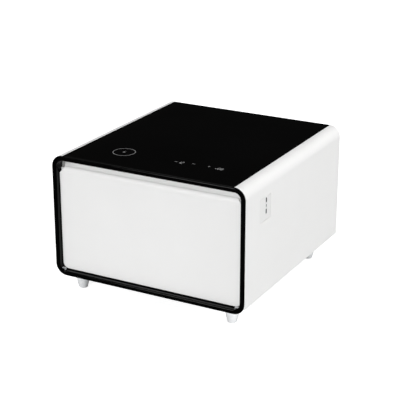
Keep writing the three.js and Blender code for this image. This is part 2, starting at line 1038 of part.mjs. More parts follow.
// Door gasket: a root in the groove, a bellows waist and a flat face against the cabinet
function drawerGasket() {
  const root = doorBack - gasketGroove + seam;
  const face = faceY - seam;
  const middle = (doorBack + face) / 2;
  const section = [
    [-gasketRoot / 2, root],
    [-gasketRoot / 2, doorBack + seam],
    [-gasketWidth / 2, doorBack + seam],
    [-gasketWaist / 2, middle],
    [-gasketWidth / 2, face],
    [gasketWidth / 2, face],
    [gasketWaist / 2, middle],
    [gasketWidth / 2, doorBack + seam],
    [gasketRoot / 2, doorBack + seam],
    [gasketRoot / 2, root],
  ];
  return loft(section.map(([offset, y]) => gasketRing(offset, y)), true);
}

// Drawer tub with a rounded floor and an outward rim over the slides
function tubForm(inset, lowZ, highZ) {
  const rings = [];
  const radius = tubFloorRadius - inset;
  for (let k = 0; k <= filletSteps; k += 1) {
    const angle = (quarter * k) / filletSteps;
    const draw = inset + radius * (1 - Math.sin(angle));
    const z = lowZ + radius * (1 - Math.cos(angle));
    rings.push(tubRing(draw, z));
  }
  rings.push(tubRing(inset, highZ));
  return loft(rings);
}

function tubRing(inset, z) {
  const radius = Math.max(tubCorner - inset, tubLeastCorner);
  return levelRing(
    -tubHalf + inset,
    tubHalf - inset,
    tubFront + inset,
    tubBack - inset,
    radius,
    z,
    filletSteps,
  );
}

function drawerTub() {
  const outer = tubForm(0, tubLow, tubHigh);
  const rimReach = Math.min(tubRim, railThickness - 2 * seam);
  const rim = prism(
    'z',
    roundedOutline(-tubHalf - rimReach, tubHalf + rimReach, tubFront, tubBack, tubCorner, filletSteps),
    tubHigh - tubRimHeight,
    tubHigh,
  );
  const inner = tubForm(tubWall, tubLow + tubWall, tubHigh + overrun);
  return cut(join([outer, rim]), [inner]);
}

// Telescopic slides: three nested channels a side, drawn as (depth from the liner wall, height)
function railX(side, depth) {
  return side * (linerHalf - seam - depth);
}

function channel(side, back, front, reach, lip, openInward) {
  const web = openInward ? back : front;
  const end = openInward ? front : back;
  const sign = openInward ? 1 : -1;
  const inner = reach - railSheet;
  const upper = [
    [end, reach],
    [end, inner - lip],
    [end - sign * railSheet, inner - lip],
    [end - sign * railSheet, inner],
    [web + sign * railSheet, inner],
  ];
  const lower = upper.map(([depth, z]) => [depth, -z]).reverse();
  const outline = [[web, reach], ...upper, ...lower, [web, -reach]];
  return spots(outline.map(([depth, z]) => [railX(side, depth), railZ + z]));
}

function railHoles(side, from, to) {
  const low = Math.min(railX(side, from), railX(side, to));
  const high = Math.max(railX(side, from), railX(side, to));
  return railScrewPlaces().map((place) => rod('x', railHoleRadius, place, low, high, holeSides));
}

function cabinetRail(side) {
  const outline = channel(side, 0, railThickness - railSheet / 2, railHeight / 2, railLip, true);
  const bar = prism('y', outline, railFront, railBack);
  return cut(bar, railHoles(side, -overrun, railSheet + overrun));
}

function middleRail(side) {
  const back = railSheet + screwHead + middleClear;
  const reach = railHeight / 2 - railSheet - seam;
  const outline = channel(side, back, railThickness - middleBack, reach, 0, true);
  const bar = prism('y', outline, railFront, railBack);
  const slots = railScrewPlaces().map(([y, z]) => {
    const slot = roundedOutline(
      y - railSlotLength / 2,
      y + railSlotLength / 2,
      z - railSlotWidth / 2,
      z + railSlotWidth / 2,
      railSlotWidth / 2,
      filletSteps,
    );
    const low = Math.min(railX(side, 0), railX(side, back + railSheet + middleClear));
    const high = Math.max(railX(side, 0), railX(side, back + railSheet + middleClear));
    return prism('x', slot, low, high);
  });
  return cut(bar, slots);
}

function drawerRail(side) {
  const reach = railHeight / 2 - 2 * railSheet - 2 * seam;
  const outline = channel(side, drawerRailBack, railThickness, reach, 0, false);
  const bar = prism('y', outline, railFront, railBack);
  return cut(bar, railHoles(side, railThickness - railSheet - overrun, railThickness + overrun));
}

// Electronics tray, its boards and the charging coil
function trayPosts() {
  const posts = [];
  for (const shareX of postXShares) {
    for (const shareY of postYShares) {
      const x = touchBoardLeft + shareX * (trayRightReach - touchBoardMargin - touchBoardLeft);
      const y = trayFront + shareY * trayDepth;
      posts.push([x, y]);
    }
  }
  return posts;
}

function electronicsTray() {
  const body = prism('z', trayOutline(0), trayLow, trayTop);
  const flange = prism('z', trayOutline(trayFlange), trayTop - trayWall, trayTop);
  const room = prism('z', trayOutline(-trayWall), trayLow + trayWall, trayTop + overrun);
  const posts = trayPosts().map((place) => rod('z', postRadius, place, trayLow, touchBoardLow - seam));
  const boss = rod('z', coilBossRadius, [-chargeX, chargeY], trayLow, ferriteLow - seam);
  return join([cut(join([body, flange]), [room]), ...posts, boss]);
}

function touchControlBoard() {
  return box(
    touchBoardLeft,
    trayRightReach - touchBoardMargin,
    trayFront + touchBoardMargin,
    trayBack - touchBoardMargin,
    touchBoardLow,
    touchBoardLow + boardThickness,
  );
}

function chargingCoil() {
  const top = coilLow + coilThickness;
  const ring = turned([
    [coilInner, coilLow],
    [coilOuter, coilLow],
    [coilOuter, top],
    [coilInner, top],
    [coilInner, coilLow],
  ], roundSides);
  return ring.translate([-chargeX, chargeY, 0]);
}

function ferriteDisc() {
  return rod('z', ferriteRadius, [-chargeX, chargeY], ferriteLow, ferriteHigh, roundSides);
}

function chargerBoard() {
  const low = trayLow + trayWall + seam;
  const left = -chargeX + ferriteRadius + touchBoardMargin;
  const front = chargeY - chargerWidth / 2;
  const board = box(left, left + chargerLength, front, front + chargerWidth, low, low + boardThickness);
  const top = low + boardThickness + chargerChipHeight;
  const half = chargerChip / 2;
  const chips = chargerChipShares.map((share) => {
    const x = left + share * chargerLength;
    return box(x - half, x + half, chargeY - half, chargeY + half, low, top);
  });
  return join([board, ...chips]);
}

// Port plate and what lies behind it
function portSlots(grow, from, to) {
  return portBelowTop.map((drop, n) => {
    const small = n === 1;
    const long = (small ? smallPortLong : portLong) / 2 + grow;
    const wide = (small ? smallPortWide : portWide) / 2 + grow;
    const z = bodyHigh - drop;
    const radius = small ? wide * smallPortRoundShare : portShellWall;
    const outline = roundedOutline(portY - wide, portY + wide, z - long, z + long, radius, filletSteps);
    return prism('x', outline, from, to);
  });
}

function sidePortPlate() {
  const rings = [];
  for (let k = 0; k <= filletSteps; k += 1) {
    const angle = (quarter * k) / filletSteps;
    const inset = portPlateEdge * (1 - Math.cos(angle));
    const x = portFace - portPlateEdge * (1 - Math.sin(angle));
    rings.push(portPlateHole(-inset).map((point) => new THREE.Vector3(x, point.x, point.y)));
  }
  const first = portPlateHole(0).map((point) => new THREE.Vector3(portFlangeBack, point.x, point.y));
  const face = loft([first, ...rings]);
  const flange = prism('x', portPlateHole(portPlateFlange), portFlangeBack, portFlangeFace);
  return cut(join([face, flange]), portSlots(seam, portFlangeBack - overrun, halfWidth + overrun));
}

function portModule() {
  const front = portFlangeBack - seam;
  const back = front - portShellLength;
  const shells = portSlots(portShellWall + seam, back, front);
  const rooms = portSlots(seam, back + portShellWall, front + overrun);
  const tongues = portBelowTop.map((drop, n) => {
    const long = n === 1 ? smallPortLong : portLong;
    const thick = n === 1 ? smallPortTongue : portTongue;
    const z = bodyHigh - drop;
    const reach = long / 2 - portShellWall;
    return box(back, front - portTongueSetBack, portY - thick / 2, portY + thick / 2, z - reach, z + reach);
  });
  const top = portHigh - housingWall - seam;
  const low = bodyHigh - portBelowTop.at(-1) - portLong / 2 - portBoardMargin;
  const board = box(back - boardThickness, back + sameSpot, portY - portLong, portY + portLong, low, top);
  return join([board, ...shells.map((shell, n) => cut(shell, [rooms[n]])), ...tongues]);
}

function portHousing() {
  const front = portFlangeBack - seam;
  const outer = prism('x', portPlateHole(0), housingBack, front);
  const inner = prism('x', portPlateHole(-housingWall), housingBack + housingWall, front + overrun);
  const rib = box(
    housingBack,
    front - portShellLength - boardThickness - seam,
    portY - portShellWall,
    portY + portShellWall,
    portLow + housingWall,
    portHigh - housingWall,
  );
  return join([cut(outer, [inner]), rib]);
}

// Back panel with its fan grille, its louvres and its cut-out for the power inlet
function louvre(x, z) {
  const left = x - louvreLength / 2;
  const right = x + louvreLength / 2;
  const outer = backPanelY + backSheet;
  const half = louvreSlot / 2;
  const hood = prism('x', spots([
    [outer - backSheet / 2, z + half + louvreSheet],
    [outer, z + half + louvreSheet],
    [outer + louvreReach, z - half + louvreSheet],
    [outer + louvreReach, z - half],
    [outer + louvreReach - louvreSheet, z - half],
    [outer - backSheet / 2, z + half],
  ]), left - louvreSheet, right + louvreSheet);
  const slot = box(left, right, backPanelY - overrun, outer, z - half, z + half);
  return { hood, slot };
}

function backPanel() {
  const outline = insideOutline(seam, panFlangeTop);
  const upper = prism('y', outline, backPanelY, backPanelY + backSheet);
  const lower = box(-panHalf, panHalf, backPanelY, backPanelY + backSheet, panLow, panFlangeTop + overrun);
  const cuts = [];
  for (let row = 0; row < grilleRows; row += 1) {
    const z = (row - (grilleRows - 1) / 2) * grillePitch;
    const reach = Math.sqrt((fanDuctRadius - grilleMargin) ** 2 - z ** 2);
    for (const sign of [-1, 1]) {
      const near = fanX + (sign * grilleRib) / 2;
      const far = fanX + sign * reach;
      const slot = roundedOutline(
        Math.min(near, far),
        Math.max(near, far),
        fanZ + z - grilleSlot / 2,
        fanZ + z + grilleSlot / 2,
        grilleCorner,
        1,
      );
      cuts.push(prism('y', slot, backPanelY - overrun, backY + overrun));
    }
  }
  const hoods = [];
  const slots = [];
  for (let bank = 0; bank < louvreBanks; bank += 1) {
    for (let row = 0; row < louvreRows; row += 1) {
      const x = louvreX + (bank - (louvreBanks - 1) / 2) * louvreBankPitch;
      const z = bodyHigh - louvreTopDrop - row * louvrePitch;
      const one = louvre(x, z);
      hoods.push(one.hood);
      slots.push(one.slot);
    }
  }
  cuts.push(prism('y', inletOutline(inletWall + seam), backPanelY - overrun, backY + overrun));
  const sheet = cut(join([upper, lower]), [...cuts, ...slots]);
  return join([sheet, ...hoods]);
}

// Power inlet: a recessed socket with three blades
function inletOutline(grow) {
  const half = inletWidth / 2 + grow;
  const reach = inletHeight / 2 + grow;
  const corner = inletCut;
  return spots([
    [inletX - half, inletZ - reach],
    [inletX + half, inletZ - reach],
    [inletX + half, inletZ + reach - corner],
    [inletX + half - corner, inletZ + reach],
    [inletX - half + corner, inletZ + reach],
    [inletX - half, inletZ + reach - corner],
  ]);
}

function inletScrewPlaces() {
  const spread = inletWidth / 2 + inletWall + inletFlange / 2 + seam;
  return [-1, 1].map((sign) => [inletX + sign * spread, inletZ]);
}

function powerInlet() {
  const face = backPanelY + backSheet + seam;
  const back = face - inletDepth;
  const body = prism('y', inletOutline(inletWall), back, face);
  const half = inletWidth / 2 + inletWall + inletFlange;
  const reach = inletHeight / 2 + inletWall;
  const flange = prism(
    'y',
    roundedOutline(
      inletX - half,
      inletX + half,
      inletZ - reach - seam,
      inletZ + reach + seam,
      inletFlange / 2,
      filletSteps,
    ),
    face,
    face + inletFlangeSheet - seam,
  );
  const room = prism('y', inletOutline(0), back + inletWall, face + overrun);
  const pinPlaces = [[-inletPinSpread, -inletPinDrop], [0, inletPinRise], [inletPinSpread, -inletPinDrop]];
  const pins = pinPlaces.map(([x, z]) => box(
    inletX + x - inletPin / 2,
    inletX + x + inletPin / 2,
    back,
    back + inletWall + inletPinLength,
    inletZ + z - inletPinTall / 2,
    inletZ + z + inletPinTall / 2,
  ));
  const holes = inletScrewPlaces().map((place) => rod('y', inletScrewRadius, place, back, backY, pipeSides));
  return join([cut(join([body, flange]), [room, ...holes]), ...pins]);
}

// Fan: shroud, stator and rotor, drawn round the Z axis with the outlet upward
function fanShroud() {
  const half = fanSize / 2;
  const square = roundedOutline(-half, half, -half, half, fanCorner, filletSteps);
  const inlet = prism('z', square, 0, fanFlange);
  const outlet = prism('z', square, fanDepth - fanFlange, fanDepth);
  const wall = rod('z', fanDuctRadius + fanDuctWall, [0, 0], 0, fanDepth, roundSides);
  const duct = rod('z', fanDuctRadius, [0, 0], -overrun, fanDepth + overrun, roundSides);
  const reach = half - fanHoleInset;
  const holes = [[-1, -1], [1, -1], [1, 1], [-1, 1]].map(([x, y]) => rod(
    'z',
    fanHoleRadius,
    [x * reach, y * reach],
    -overrun,
    fanDepth + overrun,
    pipeSides,
  ));
  const frame = cut(join([inlet, outlet, wall]), [duct, ...holes]);
  const struts = [];
  for (let n = 0; n < strutCount; n += 1) {
    const strut = box(
      bearingOuter,
      fanDuctRadius + fanDuctWall / 2,
      -fanStrut / 2,
      fanStrut / 2,
      fanDepth - fanFlange,
      fanDepth,
    );
    struts.push(strut.rotate([0, 0, (wholeTurn * (n + 0.5)) / strutCount]));
  }
  const base = rod('z', fanBaseRadius, [0, 0], fanDepth - fanBaseSheet, fanDepth, roundSides);
  const tube = rod('z', bearingOuter, [0, 0], fanDepth - fanBaseSheet - bearingLength, fanDepth, smallSides);
  const bore = rod('z', bearingInner, [0, 0], -overrun, fanDepth - fanBaseSheet / 2, smallSides);
  return cut(join([frame, base, tube, ...struts]), [bore]);
}

function fanMotor() {
  const top = fanDepth - fanFlange - seam;
  const low = top - motorLength;
  const inner = bearingOuter + seam;
  return turned([
    [inner, low],
    [motorOuter, low],
    [motorOuter, top],
    [inner, top],
    [inner, low],
  ], smallSides);
}

function blade() {
  const rings = [];
  for (let n = 0; n < bladeStations; n += 1) {
    const share = n / (bladeStations - 1);
    const radius = THREE.MathUtils.lerp(hubRadius - hubWall / 2, bladeTip, share);
    const chord = THREE.MathUtils.lerp(bladeRootChord, bladeTipChord, share);
    const pitch = quarter * THREE.MathUtils.lerp(pitchRootShare, pitchTipShare, share);
    const thick = bladeThickness * THREE.MathUtils.lerp(1, bladeThinShare, share);
    const camber = chord * bladeCamberShare;
    const along = [-0.5, -0.25, 0, 0.25, 0.5, 0.25, 0, -0.25];
    const upper = [0, 1, 1, 1, 0, -1, -1, -1];
    rings.push(along.map((place, k) => {
      const lift = camber * (1 - 4 * place * place) + (upper[k] * thick) / 2;
      const s = chord * place * Math.cos(pitch) - lift * Math.sin(pitch);
      const t = chord * place * Math.sin(pitch) + lift * Math.cos(pitch);
      const angle = s / radius;
      return new THREE.Vector3(radius * Math.cos(angle), radius * Math.sin(angle), t);
    }));
  }
  return loft(rings);
}

function fanRotor() {
  const low = hubSetBack;
  const high = hubSetBack + hubLength;
  const cup = turned([
    [0, low],
    [hubRadius - hubRound, low],
    [hubRadius, low + hubRound],
    [hubRadius, high],
    [hubRadius - hubWall, high],
    [hubRadius - hubWall, low + hubRound],
    [shaftRadius, low + hubRound],
    [shaftRadius, high],
    [0, high],
  ], roundSides);
  const blades = [];
  for (let n = 0; n < bladeCount; n += 1) {
    blades.push(blade().translate([0, 0, (low + high) / 2]).rotate([0, 0, (wholeTurn * n) / bladeCount]));
  }
  const core = rod('z', hubRadius - hubWall / 2, [0, 0], -overrun, fanDepth + overrun, roundSides);
  return join([cup, cut(join(blades), [core])]);
}

// Compressor on its foot plate, with its rubber mounts and bolts
function compressor() {
  const height = compressorHeight;
  const profile = [];
  for (const [r, h] of domeShares) profile.push([r * compressorRadius, compressorLow + h * height]);
  const seamZ = compressorLow + height * weldShare;
  profile.push([compressorRadius, seamZ]);
  profile.push([compressorRadius + weldBand, seamZ]);
  profile.push([compressorRadius + weldBand, seamZ + weldBandHeight]);
  profile.push([compressorRadius, seamZ + weldBandHeight]);
  for (const [r, h] of [...domeShares].reverse()) {
    profile.push([r * compressorRadius, compressorLow + (1 - h) * height]);
  }
  const pot = turned(profile, roundSides).translate([compressorX, bayMiddle, 0]);
  const halfX = compressorFootLength / 2;
  const halfY = compressorFootWidth / 2;
  const foot = prism(
    'z',
    roundedOutline(
      compressorX - halfX,
      compressorX + halfX,
      bayMiddle - halfY,
      bayMiddle + halfY,
      compressorFootCorner,
      filletSteps,
    ),
    compressorFootLow,
    compressorFootLow + compressorFootSheet,
  );
  const relay = box(
    compressorX - compressorRadius - relayDepth,
    compressorX - compressorRadius / 2,
    bayMiddle - relayWidth / 2,
    bayMiddle + relayWidth / 2,
    seamZ - relayHeight / 2,
    seamZ + relayHeight / 2,
  );
  const stubEnd = compressorX + compressorRadius + stubLength;
  const discharge = rod(
    'x',
    pipeRadius,
    [bayMiddle, compressorLow + dischargeRise],
    compressorX,
    stubEnd,
    pipeSides,
  );
  const suction = rod(
    'x',
    pipeRadius,
    [bayMiddle - suctionShift, compressorLow + suctionRise],
    compressorX,
    stubEnd,
    pipeSides,
  );
  const holes = mountPlaces().map(([, x, y]) => rod(
    'z',
    mountSleeve,
    [x, y],
    compressorFootLow - overrun,
    compressorFootLow + overrun,
  ));
  return cut(join([pot, foot, relay, discharge, suction]), holes);
}

function compressorMount() {
  const low = panTop + seam;
  return turned([
    [mountSleeve, low],
    [mountRadius, low],
    [mountRadius, low + mountLip],
    [mountWaist, low + mountHeight / 2],
    [mountRadius, low + mountHeight - mountLip],
    [mountRadius, low + mountHeight],
    [mountSleeve, low + mountHeight],
    [mountSleeve, low],
  ], holeSides);
}

function compressorBolt() {
  const headLow = compressorFootLow + compressorFootSheet + seam;
  return join([
    rod('z', mountBolt, [0, 0], panLow, headLow + mountBoltHeadHeight, pipeSides),
    prism('z', hexagon(0, 0, mountBoltHead), headLow, headLow + mountBoltHeadHeight),
  ]);
}

// Condenser: one tube that crosses a pack of fins between two end plates
function condenserTube() {
  const half = condenserLength / 2;
  const bend = passPitch / 2;
  const low = panTop + firstPass;
  const top = low + (crossingCount - 1) * passPitch;
  const line = [[fanX - half - condenserStub, top, 0]];
  for (let pass = 0; pass < crossingCount; pass += 1) {
    const z = top - pass * passPitch;
    const toRight = pass % 2 === 0;
    const sign = toRight ? 1 : -1;
    if (pass === crossingCount - 1) {
      line.push([fanX - half - condenserStub, z, 2]);
      break;
    }
    for (const step of [0, 1, 2, 3, 4]) {
      const turn = step / 4;
      const angle = Math.PI * (0.5 - turn);
      const x = fanX + sign * (half + bend * Math.cos(angle));
      const heading = toRight ? 2 * turn * -1 : 2 + 2 * turn;
      line.push([x, z - bend + bend * Math.sin(angle), heading]);
    }
  }
  const rings = line.map(([x, z, heading]) => {
    const angle = quarter * heading;
    const side = new THREE.Vector3(-Math.sin(angle), 0, Math.cos(angle));
    return arc(0, 0, pipeRadius, 0, 4, pipeSides).slice(1).map((spot) => new THREE.Vector3(x, condenserY, z)
      .addScaledVector(side, spot.y)
      .add(new THREE.Vector3(0, spot.x, 0)));
  });
  return loft(rings);
}

function condenser() {
  const half = condenserLength / 2;
  const lowZ = panTop + seam;
  const front = condenserY - condenserDepth / 2;
  const fins = [];
  for (let n = 0; n < finCount; n += 1) {
    const end = n === 0 || n === finCount - 1;
    const sheet = end ? endSheet : finSheet;
    const x = fanX - half + ((condenserLength - endSheet) * n) / (finCount - 1);
    const low = end ? lowZ : lowZ + condenserFoot / 2;
    fins.push(box(x, x + sheet, front, front + condenserDepth, low, lowZ + condenserHeight));
  }
  const feet = [-1, 1].map((sign) => {
    const edge = fanX + sign * half;
    const reach = edge - sign * condenserFoot;
    return box(
      Math.min(edge, reach),
      Math.max(edge, reach),
      front,
      front + condenserDepth,
      lowZ,
      lowZ + endSheet,
    );
  });
  return join([...fins, ...feet, condenserTube()]);
}

// Filter drier and the pipes between the parts of the cooling circuit
function condenserEnds() {
  const x = fanX - condenserLength / 2 - condenserStub;
  const low = panTop + firstPass;
  return { x, low, high: low + (crossingCount - 1) * passPitch };
}

function suctionPlace() {
  return [suctionX, bodyLow + suctionAboveBody];
}

function capillaryPlace() {
  return [-halfWidth * capillaryPlaceShare, bodyLow + capillaryAboveBody];
}

function filterDrier() {
  const ends = condenserEnds();
  const right = ends.x - seam;
  const left = right - drierLength;
  const profile = [
    [0, left],
    [capillaryRadius * 2, left],
    [drierRadius, left + drierNeck],
    [drierRadius, right - drierNeck],
    [pipeRadius, right],
    [0, right],
  ];
  return turned(profile, smallSides).rotate([0, wholeTurn / 4, 0]).translate([0, condenserY, ends.low]);
}

function capillaryTube() {
  const ends = condenserEnds();
  const start = ends.x - 2 * seam - drierLength;
  const [x, z] = capillaryPlace();
  return pipe([
    new THREE.Vector3(start, condenserY, ends.low),
    new THREE.Vector3(start - drierNeck / 2, condenserY, ends.low),
    new THREE.Vector3(x, condenserY - pipeBend, (ends.low + z) / 2),
    new THREE.Vector3(x, foamBack + pipeBend / 2, z),
    new THREE.Vector3(x, foamBack + pipeLead, z),
    new THREE.Vector3(x, pipeEnd, z),
  ], capillaryRadius);
}

function dischargePipe() {
  const ends = condenserEnds();
  const start = compressorX + compressorRadius + stubLength + seam;
  const z = compressorLow + dischargeRise;
  const end = ends.x - seam;
  return pipe([
    new THREE.Vector3(start, bayMiddle, z),
    new THREE.Vector3(start + pipeBend / 2, bayMiddle, z),
    new THREE.Vector3((start + end) / 2, (bayMiddle + condenserY) / 2, (z + ends.high) / 2 + pipeBend / 2),
    new THREE.Vector3(end - pipeBend / 2, condenserY, ends.high),
    new THREE.Vector3(end, condenserY, ends.high),
  ], pipeRadius);
}

function suctionPipe() {
  const start = compressorX + compressorRadius + stubLength + seam;
  const startZ = compressorLow + suctionRise;
  const startY = bayMiddle - suctionShift;
  const [x, z] = suctionPlace();
  return pipe([
    new THREE.Vector3(start, startY, startZ),
    new THREE.Vector3(start + pipeLead, startY, startZ),
    new THREE.Vector3(x, foamBack + pipeBend, z),
    new THREE.Vector3(x, foamBack + pipeLead, z),
    new THREE.Vector3(x, pipeEnd, z),
  ], pipeRadius);
}

// Power board on its tray, on the foam's back face
function boardPlace() {
  const high = deckUnder - boardBelowDeck;
  return { x: -halfWidth * boardPlaceShare, low: high - boardHeight, high, middle: high - boardHeight / 2 };
}

function boardTray() {
  const place = boardPlace();
  const wall = boardTrayWall;
  const half = boardWidth / 2 + wall + seam;
  const low = place.low - wall - seam;
  const high = place.high + wall + seam;
  const near = foamBack + seam;
  const outline = roundedOutline(place.x - half, place.x + half, low, high, boardTrayCorner, filletSteps);
  const body = prism('y', outline, near, near + boardTrayRim);
  const room = box(
    place.x - half + wall,
    place.x + half - wall,
    near + wall,
    near + boardTrayRim + overrun,
    low + wall,
    high - wall,
  );
  const posts = [];
  for (const shareX of boardPostShares) {
    for (const shareZ of boardPostShares) {
      const spot = [place.x + shareX * boardWidth, place.middle + shareZ * boardHeight];
      posts.push(rod('y', boardPost, spot, near, near + wall + boardPost, pipeSides));
    }
  }
  return join([cut(body, [room]), ...posts]);
}

function powerBoard() {
  const place = boardPlace();
  const near = foamBack + boardTrayWall + boardPost + 2 * seam;
  const face = near + boardThickness;
  const half = boardWidth / 2;
  const left = place.x - half;
  const board = box(left, place.x + half, near, face, place.low, place.high);
  const middle = place.middle;
  const margin = boardPost * 2;
  const parts = [];
  parts.push(box(
    left + margin,
    left + margin + transformerSize,
    near,
    face + transformerHeight,
    middle - transformerSize / 2,
    middle + transformerSize / 2,
  ));
  for (let n = 0; n < capacitorCount; n += 1) {
    const x = left + margin + transformerSize + margin + capacitorRadius;
    const z = middle + (n - (capacitorCount - 1) / 2) * capacitorRadius * capacitorPitchShare;
    parts.push(rod('y', capacitorRadius, [x, z], near, face + capacitorHeight, smallSides));
  }
  for (const share of relayXShares) {
    const x = place.x + (share + relayXShares[1]) * boardWidth;
    parts.push(box(
      x,
      x + relaySize,
      near,
      face + relayBlockHeight,
      place.low + margin,
      place.low + margin + relaySize,
    ));
  }
  const sinkX = place.x + sinkXShare * boardWidth - sinkWidth / 4;
  for (let n = 0; n < sinkFins; n += 1) {
    const z = middle + n * sinkFinPitch;
    parts.push(box(sinkX - sinkWidth / 2, sinkX + sinkWidth / 2, near, face + sinkHeight, z, z + sinkSheet));
  }
  const sinkTop = middle + (sinkFins - 1) * sinkFinPitch + sinkSheet;
  parts.push(box(sinkX - sinkWidth / 2, sinkX + sinkWidth / 2, near, face + sinkSheet, middle, sinkTop));
  for (const sign of [-1, 1]) {
    const x = place.x + (sign * boardWidth) / 4;
    parts.push(box(
      x - connectorWidth / 2,
      x + connectorWidth / 2,
      near,
      face + connectorHeight,
      place.high - margin / 2 - connectorHeight,
      place.high - margin / 2,
    ));
  }
  return join([board, ...parts]);
}

// Looks: colour, roughness and metalness
const looks = {
  whitePaint: [0xf2f2f0, 0.28, 0],
  whitePlastic: [0xeeeeec, 0.4, 0],
  blackGloss: [0x0a0a0b, 0.18, 0],
  blackGlass: [0x050506, 0.06, 0],
  foam: [0xe6dcb4, 0.9, 0],
  footPlastic: [0xe4e6e8, 0.3, 0],
  rubberGrey: [0xb9bbbc, 0.7, 0],
  rubberBlack: [0x1a1a1a, 0.8, 0],
  zinc: [0xb8bcc0, 0.35, 1],
  steel: [0x9a9da0, 0.4, 1],
  aluminium: [0xc9ccd0, 0.35, 1],
  copper: [0xb5714a, 0.35, 1],
  blackPlastic: [0x18191b, 0.5, 0],
  blackEnamel: [0x141414, 0.35, 0],
  board: [0x1f5a34, 0.5, 0],
  ferrite: [0x3a3b3e, 0.7, 0],
};

const table = new THREE.Group();

function addPiece(name, solid, look, parent = table) {
  const [color, roughness, metalness] = look;
  const material = new THREE.MeshStandardMaterial({ color, roughness, metalness });
  const mesh = new THREE.Mesh(geometryOf(solid), material);
  mesh.name = name;
  parent.add(mesh);
  return mesh;
}

// Body
addPiece('front_bezel', frontBezel(), looks.blackGloss);
addPiece('wrap_shell', wrapShell(), looks.whitePaint);
addPiece('glass_top', glassTop(), looks.blackGlass);
addPiece('base_pan', basePan(), looks.zinc);
for (const [place, x, y] of footPlaces()) {
  addPiece(`foot_${place}`, foot(), looks.footPlastic).position.set(x, y, 0);
  addPiece(`foot_nut_${place}`, footNut(), looks.zinc).position.set(x, y, 0);
}
addPiece('back_panel', backPanel(), looks.zinc);

// Cold box
addPiece('cabinet_throat', cabinetThroat(), looks.whitePlastic);
addPiece('cold_box_liner', coldBoxLiner(), looks.whitePlastic);
addPiece('insulation_foam', insulationFoam(), looks.foam);
addPiece('evaporator_plate', evaporatorPlate(), looks.aluminium);
addPiece('temperature_sensor', temperatureSensor(), looks.whitePlastic);

// Drawer and its slides
const drawer = new THREE.Group();
table.add(drawer);
addPiece('drawer_front_skin', drawerFrontSkin(), looks.whitePaint, drawer);
addPiece('drawer_front_foam', drawerFrontFoam(), looks.foam, drawer);
addPiece('drawer_inner_panel', drawerInnerPanel(), looks.whitePlastic, drawer);
addPiece('drawer_gasket', drawerGasket(), looks.rubberGrey, drawer);
addPiece('drawer_tub', drawerTub(), looks.whitePlastic, drawer);
for (const [place, side] of [['left', -1], ['right', 1]]) {
  addPiece(`cabinet_rail_${place}`, cabinetRail(side), looks.zinc);
  addPiece(`middle_rail_${place}`, middleRail(side), looks.zinc);
  addPiece(`drawer_rail_${place}`, drawerRail(side), looks.zinc, drawer);
}

// Electronics under the glass
addPiece('electronics_tray', electronicsTray(), looks.blackPlastic);
addPiece('touch_control_board', touchControlBoard(), looks.board);
addPiece('charging_coil', chargingCoil(), looks.copper);
addPiece('ferrite_disc', ferriteDisc(), looks.ferrite);
addPiece('charger_board', chargerBoard(), looks.board);

// Ports on the right side
addPiece('side_port_plate', sidePortPlate(), looks.whitePlastic);
addPiece('port_module', portModule(), looks.steel);
addPiece('port_housing', portHousing(), looks.blackPlastic);

// Fan, turned so that its outlet faces the back
const fan = new THREE.Group();
fan.position.set(fanX, fanFaceY, fanZ);
fan.rotation.x = -quarter;
table.add(fan);
addPiece('fan_shroud', fanShroud(), looks.blackPlastic, fan);
addPiece('fan_motor', fanMotor(), looks.copper, fan);
addPiece('fan_rotor', fanRotor(), looks.blackPlastic, fan);

// Cooling circuit and power
addPiece('compressor', compressor(), looks.blackEnamel);
for (const [place, x, y] of mountPlaces()) {
  addPiece(`compressor_mount_${place}`, compressorMount(), looks.rubberBlack).position.set(x, y, 0);
  addPiece(`compressor_bolt_${place}`, compressorBolt(), looks.steel).position.set(x, y, 0);
}
addPiece('condenser', condenser(), looks.aluminium);
addPiece('filter_drier', filterDrier(), looks.copper);
addPiece('capillary_tube', capillaryTube(), looks.copper);
addPiece('discharge_pipe', dischargePipe(), looks.copper);
addPiece('suction_pipe', suctionPipe(), looks.copper);
addPiece('board_tray', boardTray(), looks.blackPlastic);
addPiece('power_board', powerBoard(), looks.board);
addPiece('power_inlet', powerInlet(), looks.blackPlastic);

export default table;
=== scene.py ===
"""Looks of the side table with a cold drawer.

Outlines are drawn in millimetres, and Blender objects are in metres.
"""

import math

import bmesh
import bpy
from mathutils import Matrix, Vector


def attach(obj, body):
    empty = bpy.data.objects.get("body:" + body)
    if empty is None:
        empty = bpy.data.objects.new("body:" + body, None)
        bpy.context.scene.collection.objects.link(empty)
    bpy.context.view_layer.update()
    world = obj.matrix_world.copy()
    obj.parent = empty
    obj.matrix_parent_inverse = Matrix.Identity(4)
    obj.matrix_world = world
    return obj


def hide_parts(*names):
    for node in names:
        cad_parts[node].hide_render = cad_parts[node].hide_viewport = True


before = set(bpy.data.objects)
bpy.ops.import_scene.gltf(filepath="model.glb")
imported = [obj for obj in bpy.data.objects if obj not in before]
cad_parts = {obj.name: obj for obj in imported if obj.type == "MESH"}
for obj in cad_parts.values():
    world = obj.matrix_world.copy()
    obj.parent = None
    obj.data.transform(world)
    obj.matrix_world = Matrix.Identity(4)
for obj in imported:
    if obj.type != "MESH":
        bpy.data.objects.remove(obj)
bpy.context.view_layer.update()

MM = 0.001
QUARTER = math.pi / 2

# The whole table: places and sizes in millimetres, here and below
HALF = 300.0
FRONT = -316.5
BACK = 313.5
LOW = 48.0
HIGH = 406.0
CORNER = 33.5
SEAM = 0.3
OVERRUN = 6.0

# Bezel, shell and back
BAR = 14.0
SHELL_FRONT = FRONT + 4.3
SHELL_LOW = 66.0
SHELL_WALL = 3.0
SHOULDER_X = HALF - CORNER
SHOULDER_Z = HIGH - CORNER
DECK_TOP = 400.7
PAN_START = -305.1
BACK_FACE = 310.5

